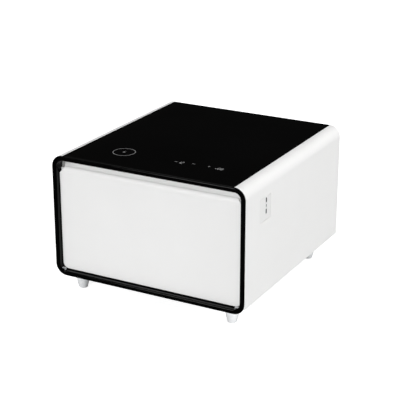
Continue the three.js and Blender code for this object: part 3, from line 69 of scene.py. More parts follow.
# Drawer front, its lip and the groove behind the lip
SKIN_FRONT = -301.0
SKIN_WALL = 3.0
DOOR_BACK = -259.0
DOOR_HALF = 284.2
DOOR_LOW = 64.8
DOOR_HIGH = 390.0
DOOR_CORNER = 17.7
DOOR_EDGE = 1.2
PANEL_SHEET = 4.0
LIP_TOP = 370.0
LIP_BACK = -291.5
LIP_CURVE = 40.0
LIP_EDGE = 1.5
GRIP_BACK = -275.0
GRIP_LOW = 360.0
GRIP_ROUND = 5.0
CORNER_WIDE = 15.4
CORNER_TALL = 17.7
GASKET_INSET = 15.7
GASKET_CORNER = 10.0

# Mouth and wall of the cold box
MOUTH_HALF = 251.5
MOUTH_LOW = 99.8
MOUTH_HIGH = 342.4
MOUTH_CORNER = 11.5
LINER_WALL = 2.5

# Ports. Each has its height, length, width, tongue and number of contacts, and its ends round or not
PORT_Y = -189.5
PORTS = (
    (337.4, 12.2, 5.6, 2.0, 4, False),
    (321.8, 8.0, 2.6, 0.7, 6, True),
    (305.6, 12.2, 5.6, 2.0, 4, False),
)
PORT_PANEL = (-227.5, -162.5, 281.5, 348.0)

# Marks on the glass: the faces of the print
MARK_LOW = 0.02
MARK_HIGH = 0.07

# Light: the fill on matt surfaces, and the floor's tone as such, in gloss and its glow to the camera
FILL = 0.1
FLOOR_TONE = 0.6
FLOOR_SHINE = 0.04
FLOOR_GLOW = 0.8


# Outlines and meshes
def arc(cx, cy, radius, start, end, steps):
    """Points of an arc, in quarter turns."""
    points = []
    for step in range(steps + 1):
        angle = QUARTER * (start + (end - start) * step / steps)
        points.append((cx + radius * math.cos(angle), cy + radius * math.sin(angle)))
    return points


def rounded(low_x, high_x, low_y, high_y, radius, steps=12):
    """A rectangle with round corners."""
    points = arc(high_x - radius, high_y - radius, radius, 0, 1, steps)
    points += arc(low_x + radius, high_y - radius, radius, 1, 2, steps)
    points += arc(low_x + radius, low_y + radius, radius, 2, 3, steps)
    points += arc(high_x - radius, low_y + radius, radius, 3, 4, steps)
    return points


def without_repeats(points):
    """The points without those that lie on the one before."""
    kept = []
    for n, point in enumerate(points):
        if math.dist(point, points[n - 1]) > 0.001:
            kept.append(point)
    return kept


def mesh_object(name, points, faces):
    """An object from points in millimetres and faces, with its normals outward."""
    mesh = bpy.data.meshes.new(name)
    mesh.from_pydata([Vector(p) * MM for p in points], [], faces)
    made = bpy.data.objects.new(name, mesh)
    bpy.context.scene.collection.objects.link(made)
    form = bmesh.new()
    form.from_mesh(mesh)
    bmesh.ops.remove_doubles(form, verts=form.verts, dist=1e-6)
    bmesh.ops.recalc_face_normals(form, faces=form.faces)
    form.to_mesh(mesh)
    form.free()
    return made


def loft(name, rings, looped=False):
    """A skin through rings of equal count, with end caps or looped back to its first ring."""
    count = len(rings[0])
    faces = []
    bands = len(rings) if looped else len(rings) - 1
    for band in range(bands):
        near = band * count
        far = (band + 1) % len(rings) * count
        for n in range(count):
            nxt = (n + 1) % count
            faces.append((near + n, near + nxt, far + nxt, far + n))
    if not looped:
        faces.append(tuple(range(count)))
        last = (len(rings) - 1) * count
        faces.append(tuple(last + n for n in range(count)))
    return mesh_object(name, [p for ring in rings for p in ring], faces)


def along(axis, points, place):
    """Points of an outline set at a place on an axis: (y, z) for x, (x, z) for y and (x, y) for z."""
    if axis == "x":
        return [(place, a, b) for a, b in points]
    if axis == "y":
        return [(a, place, b) for a, b in points]
    return [(a, b, place) for a, b in points]


def prism(name, axis, points, start, end):
    """A straight block with an outline, from one place on an axis to another."""
    points = without_repeats(points)
    return loft(name, [along(axis, points, start), along(axis, points, end)])


def upright(half, low, high, radius, y, steps=12):
    """A rounded outline that stands across the table at a depth."""
    return along("y", rounded(-half, half, low, high, radius, steps), y)


def level(low_x, high_x, low_y, high_y, radius, z, steps=8):
    """A rounded outline that lies flat at a height."""
    return along("z", rounded(low_x, high_x, low_y, high_y, radius, steps), z)


def turned(name, profile, sides=48):
    """A profile of (radius, height) turned about Z."""
    points = []
    faces = []
    count = len(profile)
    for side in range(sides):
        angle = 2 * math.pi * side / sides
        for radius, height in profile:
            points.append((radius * math.cos(angle), radius * math.sin(angle), height))
    for side in range(sides):
        nxt = (side + 1) % sides
        for n in range(count - 1):
            near = side * count + n
            far = nxt * count + n
            faces.append((near, far, far + 1, near + 1))
    return mesh_object(name, points, faces)


def settle(piece):
    """Makes a piece's modifiers part of its mesh."""
    bpy.context.view_layer.update()
    graph = bpy.context.evaluated_depsgraph_get()
    old = piece.data
    piece.data = bpy.data.meshes.new_from_object(piece.evaluated_get(graph))
    piece.modifiers.clear()
    bpy.data.meshes.remove(old)


def combine(piece, tools, operation="DIFFERENCE"):
    """Cuts, joins or intersects a piece with tools that are then taken away."""
    for tool in tools:
        step = piece.modifiers.new("cut", "BOOLEAN")
        step.operation = operation
        step.solver = "EXACT"
        step.object = tool
    settle(piece)
    for tool in tools:
        mesh = tool.data
        bpy.data.objects.remove(tool)
        bpy.data.meshes.remove(mesh)
    return piece


def soften(piece, width=0.5, angle=38, segments=3):
    """Rounds the sharp edges and shades the rest smoothly."""
    if width:
        step = piece.modifiers.new("edges", "BEVEL")
        step.width = width * MM
        step.segments = segments
        step.limit_method = "ANGLE"
        step.angle_limit = math.radians(angle)
        step.harden_normals = True
        step.use_clamp_overlap = True
        settle(piece)
    for face in piece.data.polygons:
        face.use_smooth = True
    piece.data.set_sharp_from_angle(angle=math.radians(angle))
    even = piece.modifiers.new("even", "WEIGHTED_NORMAL")
    even.keep_sharp = True
    even.weight = 80
    settle(piece)
    return piece


def joined(name, pieces):
    """One object from several, with their materials kept."""
    form = bmesh.new()
    mesh = bpy.data.meshes.new(name)
    offset = 0
    for piece in pieces:
        for material in piece.data.materials:
            mesh.materials.append(material)
        start = len(form.faces)
        piece.data.transform(piece.matrix_world)
        form.from_mesh(piece.data)
        form.faces.ensure_lookup_table()
        for face in form.faces[start:]:
            face.material_index += offset
        offset += len(piece.data.materials)
        old = piece.data
        bpy.data.objects.remove(piece)
        bpy.data.meshes.remove(old)
    form.to_mesh(mesh)
    form.free()
    made = bpy.data.objects.new(name, mesh)
    bpy.context.scene.collection.objects.link(made)
    return made


def dress(piece, material, body, slot, *stands_for):
    """Gives a piece its material and body, and hides the CAD nodes that it stands for. The slot is not
    used.
    """
    piece.data.materials.clear()
    piece.data.materials.append(material)
    if stands_for:
        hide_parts(*stands_for)
    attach(piece, body)
    return piece


# Materials
class Surface:
    """A material with its nodes, in the object's own coordinates."""

    def __init__(self, name, rough, metal=0.0, **settings):
        self.material = bpy.data.materials.new(name)
        self.material.use_nodes = True
        self.tree = self.material.node_tree
        self.shader = self.tree.nodes["Principled BSDF"]
        self.shader.inputs["Metallic"].default_value = metal
        self.shader.inputs["Roughness"].default_value = rough
        for key, value in settings.items():
            self.shader.inputs[key.replace("_", " ")].default_value = value
        self.place = self.tree.nodes.new("ShaderNodeTexCoord").outputs["Object"]
        self.normal = None

    def link(self, source, target):
        self.tree.links.new(source, target)

    def stretched(self, scale):
        """Object coordinates with another scale along each axis."""
        mapping = self.tree.nodes.new("ShaderNodeMapping")
        mapping.inputs["Scale"].default_value = scale
        self.link(self.place, mapping.inputs["Vector"])
        return mapping.outputs["Vector"]

    def noise(self, scale, detail=3.0, stretch=None):
        """Soft noise, by choice with another scale along each axis."""
        made = self.tree.nodes.new("ShaderNodeTexNoise")
        made.inputs["Scale"].default_value = scale
        made.inputs["Detail"].default_value = detail
        self.link(self.stretched(stretch) if stretch else self.place, made.inputs["Vector"])
        return made.outputs["Fac"]

    def cells(self, scale, feature="F1"):
        """Cells of even size, with their distance and colour as outputs."""
        made = self.tree.nodes.new("ShaderNodeTexVoronoi")
        made.feature = feature
        made.inputs["Scale"].default_value = scale
        self.link(self.place, made.inputs["Vector"])
        return made

    def colours(self, value, first, second, start=0.3, end=0.7):
        """A base colour that goes from the first to the second with a pattern's value."""
        made = self.tree.nodes.new("ShaderNodeValToRGB")
        made.color_ramp.elements[0].position = start
        made.color_ramp.elements[0].color = (*first, 1)
        made.color_ramp.elements[1].position = end
        made.color_ramp.elements[1].color = (*second, 1)
        self.link(value, made.inputs["Fac"])
        self.link(made.outputs["Color"], self.shader.inputs["Base Color"])

    def roughness(self, value, low, high):
        """A roughness that goes from low to high with a pattern's value."""
        made = self.tree.nodes.new("ShaderNodeMapRange")
        made.inputs["From Min"].default_value = 0.3
        made.inputs["From Max"].default_value = 0.7
        made.inputs["To Min"].default_value = low
        made.inputs["To Max"].default_value = high
        self.link(value, made.inputs["Value"])
        self.link(made.outputs["Result"], self.shader.inputs["Roughness"])

    def bump(self, value, depth):
        """Relief whose depth is in millimetres."""
        made = self.tree.nodes.new("ShaderNodeBump")
        made.inputs["Strength"].default_value = 1.0
        made.inputs["Distance"].default_value = depth * MM
        self.link(value, made.inputs["Height"])
        if self.normal:
            self.link(self.normal, made.inputs["Normal"])
        self.normal = made.outputs["Normal"]
        self.link(self.normal, self.shader.inputs["Normal"])


def grey(value):
    """A neutral colour."""
    return (value, value, value)


def painted(name, colour, rough):
    """Sprayed paint: faint clouds of tone, uneven gloss and a fine orange peel."""
    made = Surface(name, rough)
    darker = tuple(c * 0.985 for c in colour)
    made.colours(made.noise(9.0), darker, colour)
    made.roughness(made.noise(60.0), rough - 0.04, rough + 0.05)
    made.bump(made.noise(420.0, 2.0), 0.012)
    return made.material


def moulded(name, colour, rough, grain=900.0, depth=0.01, tone=0.97):
    """Moulded plastic: a fine even grain with faint flow marks."""
    made = Surface(name, rough)
    darker = tuple(c * tone for c in colour)
    made.colours(made.noise(14.0, 4.0), darker, colour)
    made.roughness(made.noise(110.0), rough - 0.05, rough + 0.06)
    made.bump(made.cells(grain).outputs["Distance"], depth)
    return made.material


def galvanised(name):
    """Zinc-coated sheet: crystals of slightly different grey with soft borders."""
    made = Surface(name, 0.4, 0.45)
    crystals = made.cells(160.0)
    made.colours(crystals.outputs["Color"], (0.52, 0.54, 0.56), (0.66, 0.68, 0.70), 0.1, 0.9)
    made.roughness(made.noise(220.0), 0.34, 0.5)
    made.bump(made.noise(500.0), 0.01)
    return made.material


def brushed(name, colour, stretch, rough=0.3):
    """Drawn or rolled metal: long fine lines along one axis."""
    made = Surface(name, rough, 1.0)
    lines = made.noise(700.0, 4.0, stretch)
    made.colours(lines, tuple(c * 0.86 for c in colour), colour)
    made.roughness(lines, rough - 0.08, rough + 0.1)
    made.bump(lines, 0.004)
    return made.material


def polished_glass(name):
    """Back-printed glass: deep black, polished, with the faintest wipe marks."""
    made = Surface(name, 0.03, Specular_IOR_Level=0.4)
    made.colours(made.noise(3.0), grey(0.0008), grey(0.0016))
    made.roughness(made.noise(7.0, 5.0, (1.0, 3.0, 1.0)), 0.02, 0.07)
    return made.material


def bezel_gloss(name):
    """Glossy black moulding with a slow waviness in its shine."""
    made = Surface(name, 0.1, Specular_IOR_Level=0.08)
    made.colours(made.noise(12.0), grey(0.0006), grey(0.0014))
    made.roughness(made.noise(45.0), 0.07, 0.13)
    made.bump(made.noise(55.0, 1.0), 0.02)
    return made.material


def foot_plastic(name):
    """Milky plastic with a little light in it."""
    made = Surface(name, 0.22, Subsurface_Weight=0.35, Subsurface_Scale=0.006)
    made.shader.inputs["Subsurface Radius"].default_value = (1.0, 1.0, 1.0)
    made.colours(made.noise(40.0), (0.79, 0.805, 0.815), (0.85, 0.86, 0.87))
    made.roughness(made.noise(150.0), 0.16, 0.3)
    made.bump(made.noise(300.0), 0.008)
    return made.material


def foam(name):
    """Poured foam: small cells with darker pits."""
    made = Surface(name, 0.9, Specular_IOR_Level=0.1)
    pits = made.cells(260.0).outputs["Distance"]
    made.colours(pits, (0.74, 0.66, 0.38), (0.86, 0.80, 0.55), 0.0, 0.6)
    made.bump(made.cells(420.0).outputs["Distance"], 0.25)
    made.bump(made.noise(60.0), 0.4)
    return made.material


def rubber(name, colour):
    """Matte rubber with a fine bloom."""
    made = Surface(name, 0.75, Specular_IOR_Level=0.3)
    made.colours(made.noise(50.0, 5.0), tuple(c * 0.88 for c in colour), colour)
    made.roughness(made.noise(90.0), 0.66, 0.85)
    made.bump(made.noise(600.0), 0.02)
    return made.material


def circuit_board(name):
    """Solder mask over a fine net of tracks."""
    made = Surface(name, 0.35)
    tracks = made.cells(90.0, "DISTANCE_TO_EDGE")
    made.colours(tracks.outputs["Distance"], (0.03, 0.17, 0.06), (0.011, 0.085, 0.027), 0.03, 0.08)
    made.roughness(made.noise(120.0), 0.3, 0.45)
    made.bump(tracks.outputs["Distance"], 0.03)
    return made.material


def copper(name):
    """Bare copper pipe with a light tarnish."""
    made = Surface(name, 0.32, 1.0)
    made.colours(made.noise(25.0, 6.0), (0.42, 0.15, 0.07), (0.62, 0.27, 0.15))
    made.roughness(made.noise(80.0, 5.0), 0.22, 0.5)
    made.bump(made.noise(300.0), 0.01)
    return made.material


def enamel(name):
    """Black dipped enamel over pressed steel."""
    made = Surface(name, 0.3, Specular_IOR_Level=0.5)
    made.colours(made.noise(18.0), grey(0.006), grey(0.011))
    made.roughness(made.noise(70.0), 0.22, 0.4)
    made.bump(made.noise(180.0), 0.05)
    return made.material


white_paint = painted("white_paint", (0.868, 0.868, 0.862), 0.32)
front_white = painted("front_white", (0.87, 0.87, 0.865), 0.32)
white_plastic = moulded("white_plastic", (0.83, 0.83, 0.825), 0.36)
liner_plastic = moulded("liner_plastic", (0.85, 0.86, 0.865), 0.3, 500.0, 0.02)
black_gloss = bezel_gloss("black_gloss")
glass_black = polished_glass("glass_black")
zinc = galvanised("zinc")
bright = brushed("bright_steel", (0.62, 0.63, 0.65), (1.0, 0.06, 1.0), 0.26)
rolled = brushed("rolled_zinc", (0.66, 0.68, 0.71), (1.0, 0.02, 1.0), 0.3)
# The port shells' steel is painted dark: painted shade for the inside of the ports.
port_steel_painted_shade = brushed("port_steel_painted_shade", (0.16, 0.16, 0.17), (0.05, 1.0, 1.0), 0.4)
aluminium = brushed("aluminium", (0.74, 0.75, 0.77), (1.0, 1.0, 0.05), 0.34)
feet_white = foot_plastic("feet_white")
foam_yellow = foam("foam_yellow")
grey_rubber = rubber("grey_rubber", (0.50, 0.505, 0.51))
black_rubber = rubber("black_rubber", grey(0.018))
black_plastic = moulded("black_plastic", grey(0.016), 0.42, 1100.0, 0.02, 0.8)
board_green = circuit_board("board_green")
copper_pipe = copper("copper_pipe")
black_enamel = enamel("black_enamel")
ferrite = moulded("ferrite", (0.045, 0.046, 0.05), 0.6, 1500.0, 0.02, 0.8)


# Floor, light and camera
def mixed_colour(tree, factor, first, second):
    """A colour that goes from the first to the second by a factor. Either is a colour or a socket."""
    mix = tree.nodes.new("ShaderNodeMix")
    mix.data_type = "RGBA"
    tree.links.new(factor, mix.inputs["Factor"])
    sockets = [socket for socket in mix.inputs if socket.type == "RGBA"]
    for socket, colour in zip(sockets, (first, second)):
        if isinstance(colour, tuple):
            socket.default_value = (*colour, 1)
        else:
            tree.links.new(colour, socket)
    return [socket for socket in mix.outputs if socket.type == "RGBA"][0]


def floor_material():
    """A pale floor that the camera sees as white where the light is full, and that keeps the shadow."""
    material = bpy.data.materials.new("floor_white")
    material.use_nodes = True
    tree = material.node_tree
    shader = tree.nodes["Principled BSDF"]
    shader.inputs["Roughness"].default_value = 0.9
    shader.inputs["Specular IOR Level"].default_value = 0.0
    shader.inputs["Emission Color"].default_value = (1, 1, 1, 1)
    path = tree.nodes.new("ShaderNodeLightPath")
    base = mixed_colour(tree, path.outputs["Is Glossy Ray"], grey(FLOOR_TONE), grey(FLOOR_SHINE))
    tree.links.new(base, shader.inputs["Base Color"])
    glow = tree.nodes.new("ShaderNodeMath")
    glow.operation = "MULTIPLY"
    glow.inputs[1].default_value = FLOOR_GLOW
    tree.links.new(path.outputs["Is Camera Ray"], glow.inputs[0])
    tree.links.new(glow.outputs[0], shader.inputs["Emission Strength"])
    return material


def build_floor():
    """A wide level floor in even squares."""
    reach = 9000.0
    steps = 24
    points = []
    faces = []
    for row in range(steps + 1):
        for column in range(steps + 1):
            points.append((reach * (2 * column / steps - 1), reach * (2 * row / steps - 1), 0.0))
    for row in range(steps):
        for column in range(steps):
            corner = row * (steps + 1) + column
            faces.append((corner, corner + 1, corner + steps + 2, corner + steps + 1))
    floor = mesh_object("floor", points, faces)
    floor.data.materials.append(floor_material())


def build_world():
    """White to the camera, an even fill to matt surfaces, and a dim room to the gloss."""
    world = bpy.data.worlds.new("studio")
    bpy.context.scene.world = world
    world.use_nodes = True
    tree = world.node_tree
    where = tree.nodes.new("ShaderNodeTexCoord")
    parts = tree.nodes.new("ShaderNodeSeparateXYZ")
    ramp = tree.nodes.new("ShaderNodeValToRGB")
    ramp.color_ramp.elements[0].color = (*grey(0.012), 1)
    ramp.color_ramp.elements[1].color = (*grey(0.30), 1)
    ramp.color_ramp.elements.new(0.8).color = (*grey(0.007), 1)
    tree.links.new(where.outputs["Generated"], parts.inputs[0])
    tree.links.new(parts.outputs["Z"], ramp.inputs["Fac"])
    path = tree.nodes.new("ShaderNodeLightPath")
    room = mixed_colour(tree, path.outputs["Is Glossy Ray"], grey(FILL), ramp.outputs["Color"])
    seen = mixed_colour(tree, path.outputs["Is Camera Ray"], room, grey(1.0))
    tree.links.new(seen, tree.nodes["Background"].inputs["Color"])


def lamp(name, direction, strength, spread, mirrored=False):
    """Even light from a direction, with soft shadows from its spread in degrees."""
    data = bpy.data.lights.new(name, "SUN")
    data.energy = strength
    data.angle = math.radians(spread)
    made = bpy.data.objects.new(name, data)
    made.location = Vector(direction).normalized() * 4
    made.rotation_euler = Vector(direction).to_track_quat("Z", "Y").to_euler()
    made.visible_glossy = mirrored
    bpy.context.scene.collection.objects.link(made)


def build_lamps():
    """Two lamps show in gloss, and the others only light the object."""
    lamp("key", (0.05, -0.925, 0.37), 1.58, 9)
    lamp("key_left", (-0.42, -0.84, 0.34), 0.4, 10, True)
    lamp("low", (0.55, -0.82, 0.12), 0.25, 16)
    lamp("front", (-0.10, -0.82, 0.55), 0.1, 40)
    lamp("side", (0.90, 0.02, 0.40), 2.15, 24)
    lamp("overhead", (-0.45, 0.10, 0.89), 0.35, 40, True)
    lamp("left", (-0.95, 0.10, 0.30), 1.2, 30)
    lamp("rear", (0.15, 0.95, 0.20), 1.5, 30)


def build_camera():
    """The photograph's place, angle and lens."""
    place = (1.6097, -2.9638, 1.4744)
    azimuth = math.radians(28.56)
    elevation = math.radians(20.37)
    back = Vector((
        math.sin(azimuth) * math.cos(elevation),
        -math.cos(azimuth) * math.cos(elevation),
        math.sin(elevation),
    ))
    right = Vector((math.cos(azimuth), math.sin(azimuth), 0.0))
    up = back.cross(right)
    data = bpy.data.cameras.new("camera")
    data.sensor_width = 36.0
    data.lens = 111.04
    data.clip_end = 60.0
    made = bpy.data.objects.new("camera", data)
    turn = Matrix((right, up, back)).transposed()
    made.matrix_world = Matrix.Translation(place) @ turn.to_4x4()
    bpy.context.scene.collection.objects.link(made)
    bpy.context.scene.camera = made


# Body
def front_bezel():
    """The black ring round the drawer, with a rounded bar and a thin lining behind it."""
    rise = 3.8
    bar_back = 4.0
    lining_back = 33.0
    lining = 2.0
    edge = 0.4
    section = [(0.15, bar_back), (0.0, bar_back - 0.1)]
    for step in range(25):
        angle = math.pi * step / 24
        section.append((BAR / 2 * (1 - math.cos(angle)), rise * (1 - math.sin(angle))))
    section += [(BAR, lining_back - edge), (BAR - edge, lining_back)]
    section += [(BAR - lining + edge, lining_back), (BAR - lining, lining_back - edge)]
    section.append((BAR - lining, bar_back))
    rings = []
    for inset, depth in section:
        ring = upright(HALF - inset, LOW + inset, HIGH - inset, CORNER - inset, FRONT + depth, 20)
        rings.append(ring)
    piece = loft("bezel_ring", rings, True)
    dress(soften(piece, 0), black_gloss, "cabinet", "black_gloss", "front_bezel")


def wrap_shell():
    """The bent outer skin with its sunk deck, its port cut-out and softly broken edges."""
    inner = CORNER - SHELL_WALL
    edge = 0.8
    step_turn = math.acos(SHELL_WALL / inner) / QUARTER
    right = [(SHOULDER_X, DECK_TOP), (SHOULDER_X, HIGH - edge)]
    right += arc(SHOULDER_X + edge, HIGH - edge, edge, 2, 1, 4)
    right += arc(SHOULDER_X, SHOULDER_Z, CORNER, 0.97, 0, 22)
    right += [(HALF, SHELL_LOW), (HALF - SHELL_WALL, SHELL_LOW)]
    right += arc(SHOULDER_X, SHOULDER_Z, inner, 0, step_turn, 16)
    right += [(SHOULDER_X + SHELL_WALL, DECK_TOP - SHELL_WALL)]
    left = [(-x, z) for x, z in reversed(right)]
    piece = prism("outer_shell", "y", right + left, SHELL_FRONT, BACK)
    hole = prism("hole", "x", panel_outline(0.6, 6), HALF - 8, HALF + 8)
    combine(piece, [hole])
    soften(piece, 0.35, 40)
    dress(piece, white_paint, "cabinet", "white_paint", "wrap_shell")


def glass_top():
    """The glass, with a broken edge below and a polished round one above."""
    half = SHOULDER_X - 0.5
    section = [(0.4, 401.0), (0.0, 401.4)]
    for step in range(9):
        angle = QUARTER * step / 8
        section.append((1.0 - math.cos(angle), HIGH - 1.0 + math.sin(angle)))
    rings = []
    for inset, z in section:
        ring = level(-half + inset, half - inset, SHELL_FRONT + inset, BACK - inset, 2.0, z)
        rings.append(ring)
    dress(soften(loft("top_glass", rings), 0), glass_black, "cabinet", "black_glass", "glass_top")


def pan_hem():
    """The folded front edge of the base pan, up to the back of the bezel."""
    wall = 273.0
    edge = 296.7
    low = 50.0
    top = 67.0
    sheet = 2.0
    right = [(wall, low), (wall, top), (edge, top), (edge, top + sheet)]
    right += [(wall - sheet, top + sheet), (wall - sheet, low + sheet)]
    left = [(-x, z) for x, z in reversed(right)]
    piece = prism("pan_front", "y", right + left, SHELL_FRONT, PAN_START)
    dress(soften(piece, 0.3, 40), zinc, "cabinet", "zinc_sheet")


def foot(corner, x, y):
    """A tapered foot with a round sole and a stud, and the nut that holds the stud."""
    sole = 3.6
    flank = [(14.2, 8.0), (15.3, 12.0), (16.3, 16.0), (17.4, 22.0)]
    flank += [(18.0, 30.0), (18.4, 38.0), (18.7, 45.6)]
    stud = 4.0
    stud_low = 49.7
    stud_top = 58.7
    edge = 0.5
    profile = [(0.0, 0.0)]
    profile += arc(13.0 - sole, sole, sole, 3, 4, 10)
    profile += flank
    profile += arc(17.8, stud_low - 1.0, 1.0, 0, 1, 5)
    profile += [(stud, stud_low), (stud, stud_top - edge), (stud - edge, stud_top), (0.0, stud_top)]
    piece = turned("leg_" + corner, profile, 64)
    place = Matrix.Translation((x * MM, y * MM, 0))
    piece.data.transform(place)
    dress(soften(piece, 0), feet_white, "cabinet", "foot_plastic", "foot_" + corner)
    hexagon = arc(0.0, 0.0, 7.5, 0, 4, 6)[:-1]
    nut = prism("leg_nut_" + corner, "z", hexagon, 52.3, 57.7)
    combine(nut, [prism("bore", "z", arc(0.0, 0.0, stud + 0.2, 0, 4, 24)[1:], 50.0, 60.0)])
    nut.data.transform(place)
    dress(soften(nut, 0.5, 35), bright, "cabinet", "bright_steel", "foot_nut_" + corner)


def feet():
    """Four feet, the rear ones further in from the edge than the front ones."""
    for side, x in (("left", -241.0), ("right", 241.0)):
        for end, y in (("front", -266.9), ("rear", 239.5)):
            foot(side + "_" + end, x, y)


# Drawer
def grip_section(inset, back):
    """The front's section: a long curve up to the lip, the groove behind it and the wall above."""
    middle = SKIN_FRONT + LIP_CURVE
    outer_reach = LIP_CURVE - LIP_EDGE
    outer_turn = math.acos((middle - LIP_BACK + LIP_EDGE) / outer_reach)
    start = LIP_TOP - LIP_EDGE - outer_reach * math.sin(outer_turn)
    edge = max(LIP_EDGE - inset, 0)
    reach = LIP_CURVE - inset - edge
    turn = math.acos((middle - LIP_BACK + inset + edge) / reach)
    leaving = 2 - turn / QUARTER
    groove = GRIP_LOW + GRIP_ROUND
    low = DOOR_LOW - OVERRUN
    high = DOOR_HIGH + OVERRUN
    points = [(SKIN_FRONT + inset, low)]
    points += arc(middle, start, LIP_CURVE - inset, 2, leaving, 20)
    points += arc(LIP_BACK - inset - edge, start + reach * math.sin(turn), edge, leaving, 0, 6)
    points += arc(LIP_BACK + GRIP_ROUND, groove, GRIP_ROUND + inset, 2, 3, 7)
    points += arc(GRIP_BACK - GRIP_ROUND, groove, GRIP_ROUND + inset, 3, 4, 7)
    points += [(GRIP_BACK + inset, high), (back, high), (back, low)]
    return points


def door_ring(inset, y):
    """The outline of the drawer front at one depth."""
    return upright(DOOR_HALF - inset, DOOR_LOW + inset, DOOR_HIGH - inset, DOOR_CORNER - inset, y, 14)


def door_block(name, inset, back):
    """The drawer front as a block, with round front edges where the inset leaves them."""
    edge = max(DOOR_EDGE - inset, 0)
    rings = []
    for step in range(7 if edge else 1):
        angle = QUARTER * step / 6
        draw = inset + edge * (1 - math.sin(angle))
        rings.append(door_ring(draw, SKIN_FRONT + inset + edge * (1 - math.cos(angle))))
    rings.append(door_ring(inset, back))
    return loft(name, rings)


def lip_corner(inset, sign):
    """The wedge taken off over a sloping corner of the lip."""
    past = 4.0
    slant = math.hypot(CORNER_WIDE, CORNER_TALL)
    wide = CORNER_WIDE + inset * slant / CORNER_TALL
    tall = CORNER_TALL + inset * slant / CORNER_WIDE
    outline = [
        (sign * (DOOR_HALF - wide - past * CORNER_WIDE / CORNER_TALL), LIP_TOP + past),
        (sign * (DOOR_HALF + past), LIP_TOP - tall - past * CORNER_TALL / CORNER_WIDE),
        (sign * (DOOR_HALF + past), LIP_TOP + past),
    ]
    return prism("wedge", "y", outline, FRONT, LIP_BACK + inset)


def door_form(name, inset, section_back, back):
    """The whole form of the drawer front, drawn in by an inset."""
    form = prism(name, "x", grip_section(inset, section_back), -HALF, HALF)
    combine(form, [door_block("block", inset, back)], "INTERSECT")
    return combine(form, [lip_corner(inset, sign) for sign in (-1, 1)])


def drawer_front():
    """The bent front skin with its finger lip and groove."""
    back = DOOR_BACK - PANEL_SHEET - SEAM
    piece = door_form("drawer_face", 0.0, back + OVERRUN, back)
    combine(piece, [door_form("room", SKIN_WALL, back + 20.0, back + 10.0)])
    soften(piece, 0.4, 50)
    dress(piece, front_white, "drawer", "white_paint", "drawer_front_skin")


def front_foam():
    """The foam that fills the skin."""
    back = DOOR_BACK - PANEL_SHEET - SEAM
    piece = door_form("front_filling", SKIN_WALL + SEAM, DOOR_BACK + OVERRUN, back)
    dress(soften(piece, 0.4, 50), foam_yellow, "drawer", "foam", "drawer_front_foam")


def inner_panel():
    """The moulded rear of the drawer front, with the gasket's channel and a raised field."""
    plate = loft("drawer_rear_panel", [
        door_ring(0.0, DOOR_BACK - PANEL_SHEET),
        door_ring(0.0, DOOR_BACK),
    ])
    rings = []
    for inset, rise in ((6.0, -2.0), (6.0, 0.0), (7.2, 1.4), (9.6, 9.8), (11.0, 11.4), (13.4, 12.0)):
        y = DOOR_BACK + rise
        rings.append(upright(MOUTH_HALF - inset, MOUTH_LOW + inset, MOUTH_HIGH - inset, 12.0, y, 10))
    bulge = loft("bulge", rings)
    combine(plate, [bulge], "UNION")
    channel = []
    for offset, rise in ((-3.3, 6.0), (3.3, 6.0), (3.3, -2.5), (-3.3, -2.5)):
        channel.append(gasket_ring(offset, rise))
    combine(plate, [loft("channel", channel, True)])
    soften(plate, 0.4, 40)
    dress(plate, white_plastic, "drawer", "white_plastic", "drawer_inner_panel")


def gasket_ring(offset, rise):
    """A ring beside the gasket's middle line, behind the rear face of the front."""
    inset = GASKET_INSET + offset
    radius = GASKET_CORNER - offset
    return upright(DOOR_HALF - inset, DOOR_LOW + inset, DOOR_HIGH - inset, radius, DOOR_BACK + rise, 8)


def gasket():
    """A bellows seal: a root, two folds and a flat magnetic face."""
    half = [(3.0, -2.2), (3.0, -0.4), (6.5, 0.3), (6.5, 1.1), (4.4, 2.4), (4.0, 3.6)]
    half += [(4.6, 4.8), (6.6, 5.8), (6.8, 7.0), (6.2, 7.7)]
    rings = [gasket_ring(-offset, rise) for offset, rise in half]
    rings += [gasket_ring(offset, rise) for offset, rise in reversed(half)]
    piece = loft("door_seal", rings, True)
    dress(soften(piece, 0, 30), grey_rubber, "drawer", "grey_rubber", "drawer_gasket")


def tub():
    """The drawer's box, with a rounded floor and a rolled rim."""
    half = 238.2
    front = -246.7
    back = 104.5
    low = 104.8
    high = 297.4
    wall = 3.0
    corner = 12.0
    bowl_round = 14.0

    def ring(draw, z):
        radius = max(corner - draw, 3.0)
        return level(-half + draw, half - draw, front + draw, back - draw, radius, z)

    def rim(wide, z):
        return level(-half - wide, half + wide, front, back, corner, z)

    def bowl(inset):
        made = []
        radius = bowl_round - inset
        for step in range(9):
            angle = QUARTER * step / 8
            draw = inset + radius * (1 - math.sin(angle))
            made.append(ring(draw, low + inset + radius * (1 - math.cos(angle))))
        return made

    rings = bowl(0.0)
    rings.append(ring(0.0, high - 3.0))
    rings += [rim(6.5, high - 3.0), rim(7.0, high - 2.5), rim(7.0, high - 0.9), rim(6.1, high)]
    rings += [ring(2.2, high), ring(wall, high - 0.8)]
    rings += reversed(bowl(wall))
    piece = loft("drawer_box", rings)
    dress(soften(piece, 0, 40), liner_plastic, "drawer", "white_plastic", "drawer_tub")


# Cold box
def mouth_ring(grow, y):
    """The mouth's outline at one depth, larger by a distance on every side."""
    radius = MOUTH_CORNER + min(grow, LINER_WALL)
    return upright(MOUTH_HALF + grow, MOUTH_LOW - grow, MOUTH_HIGH + grow, radius, y, 12)


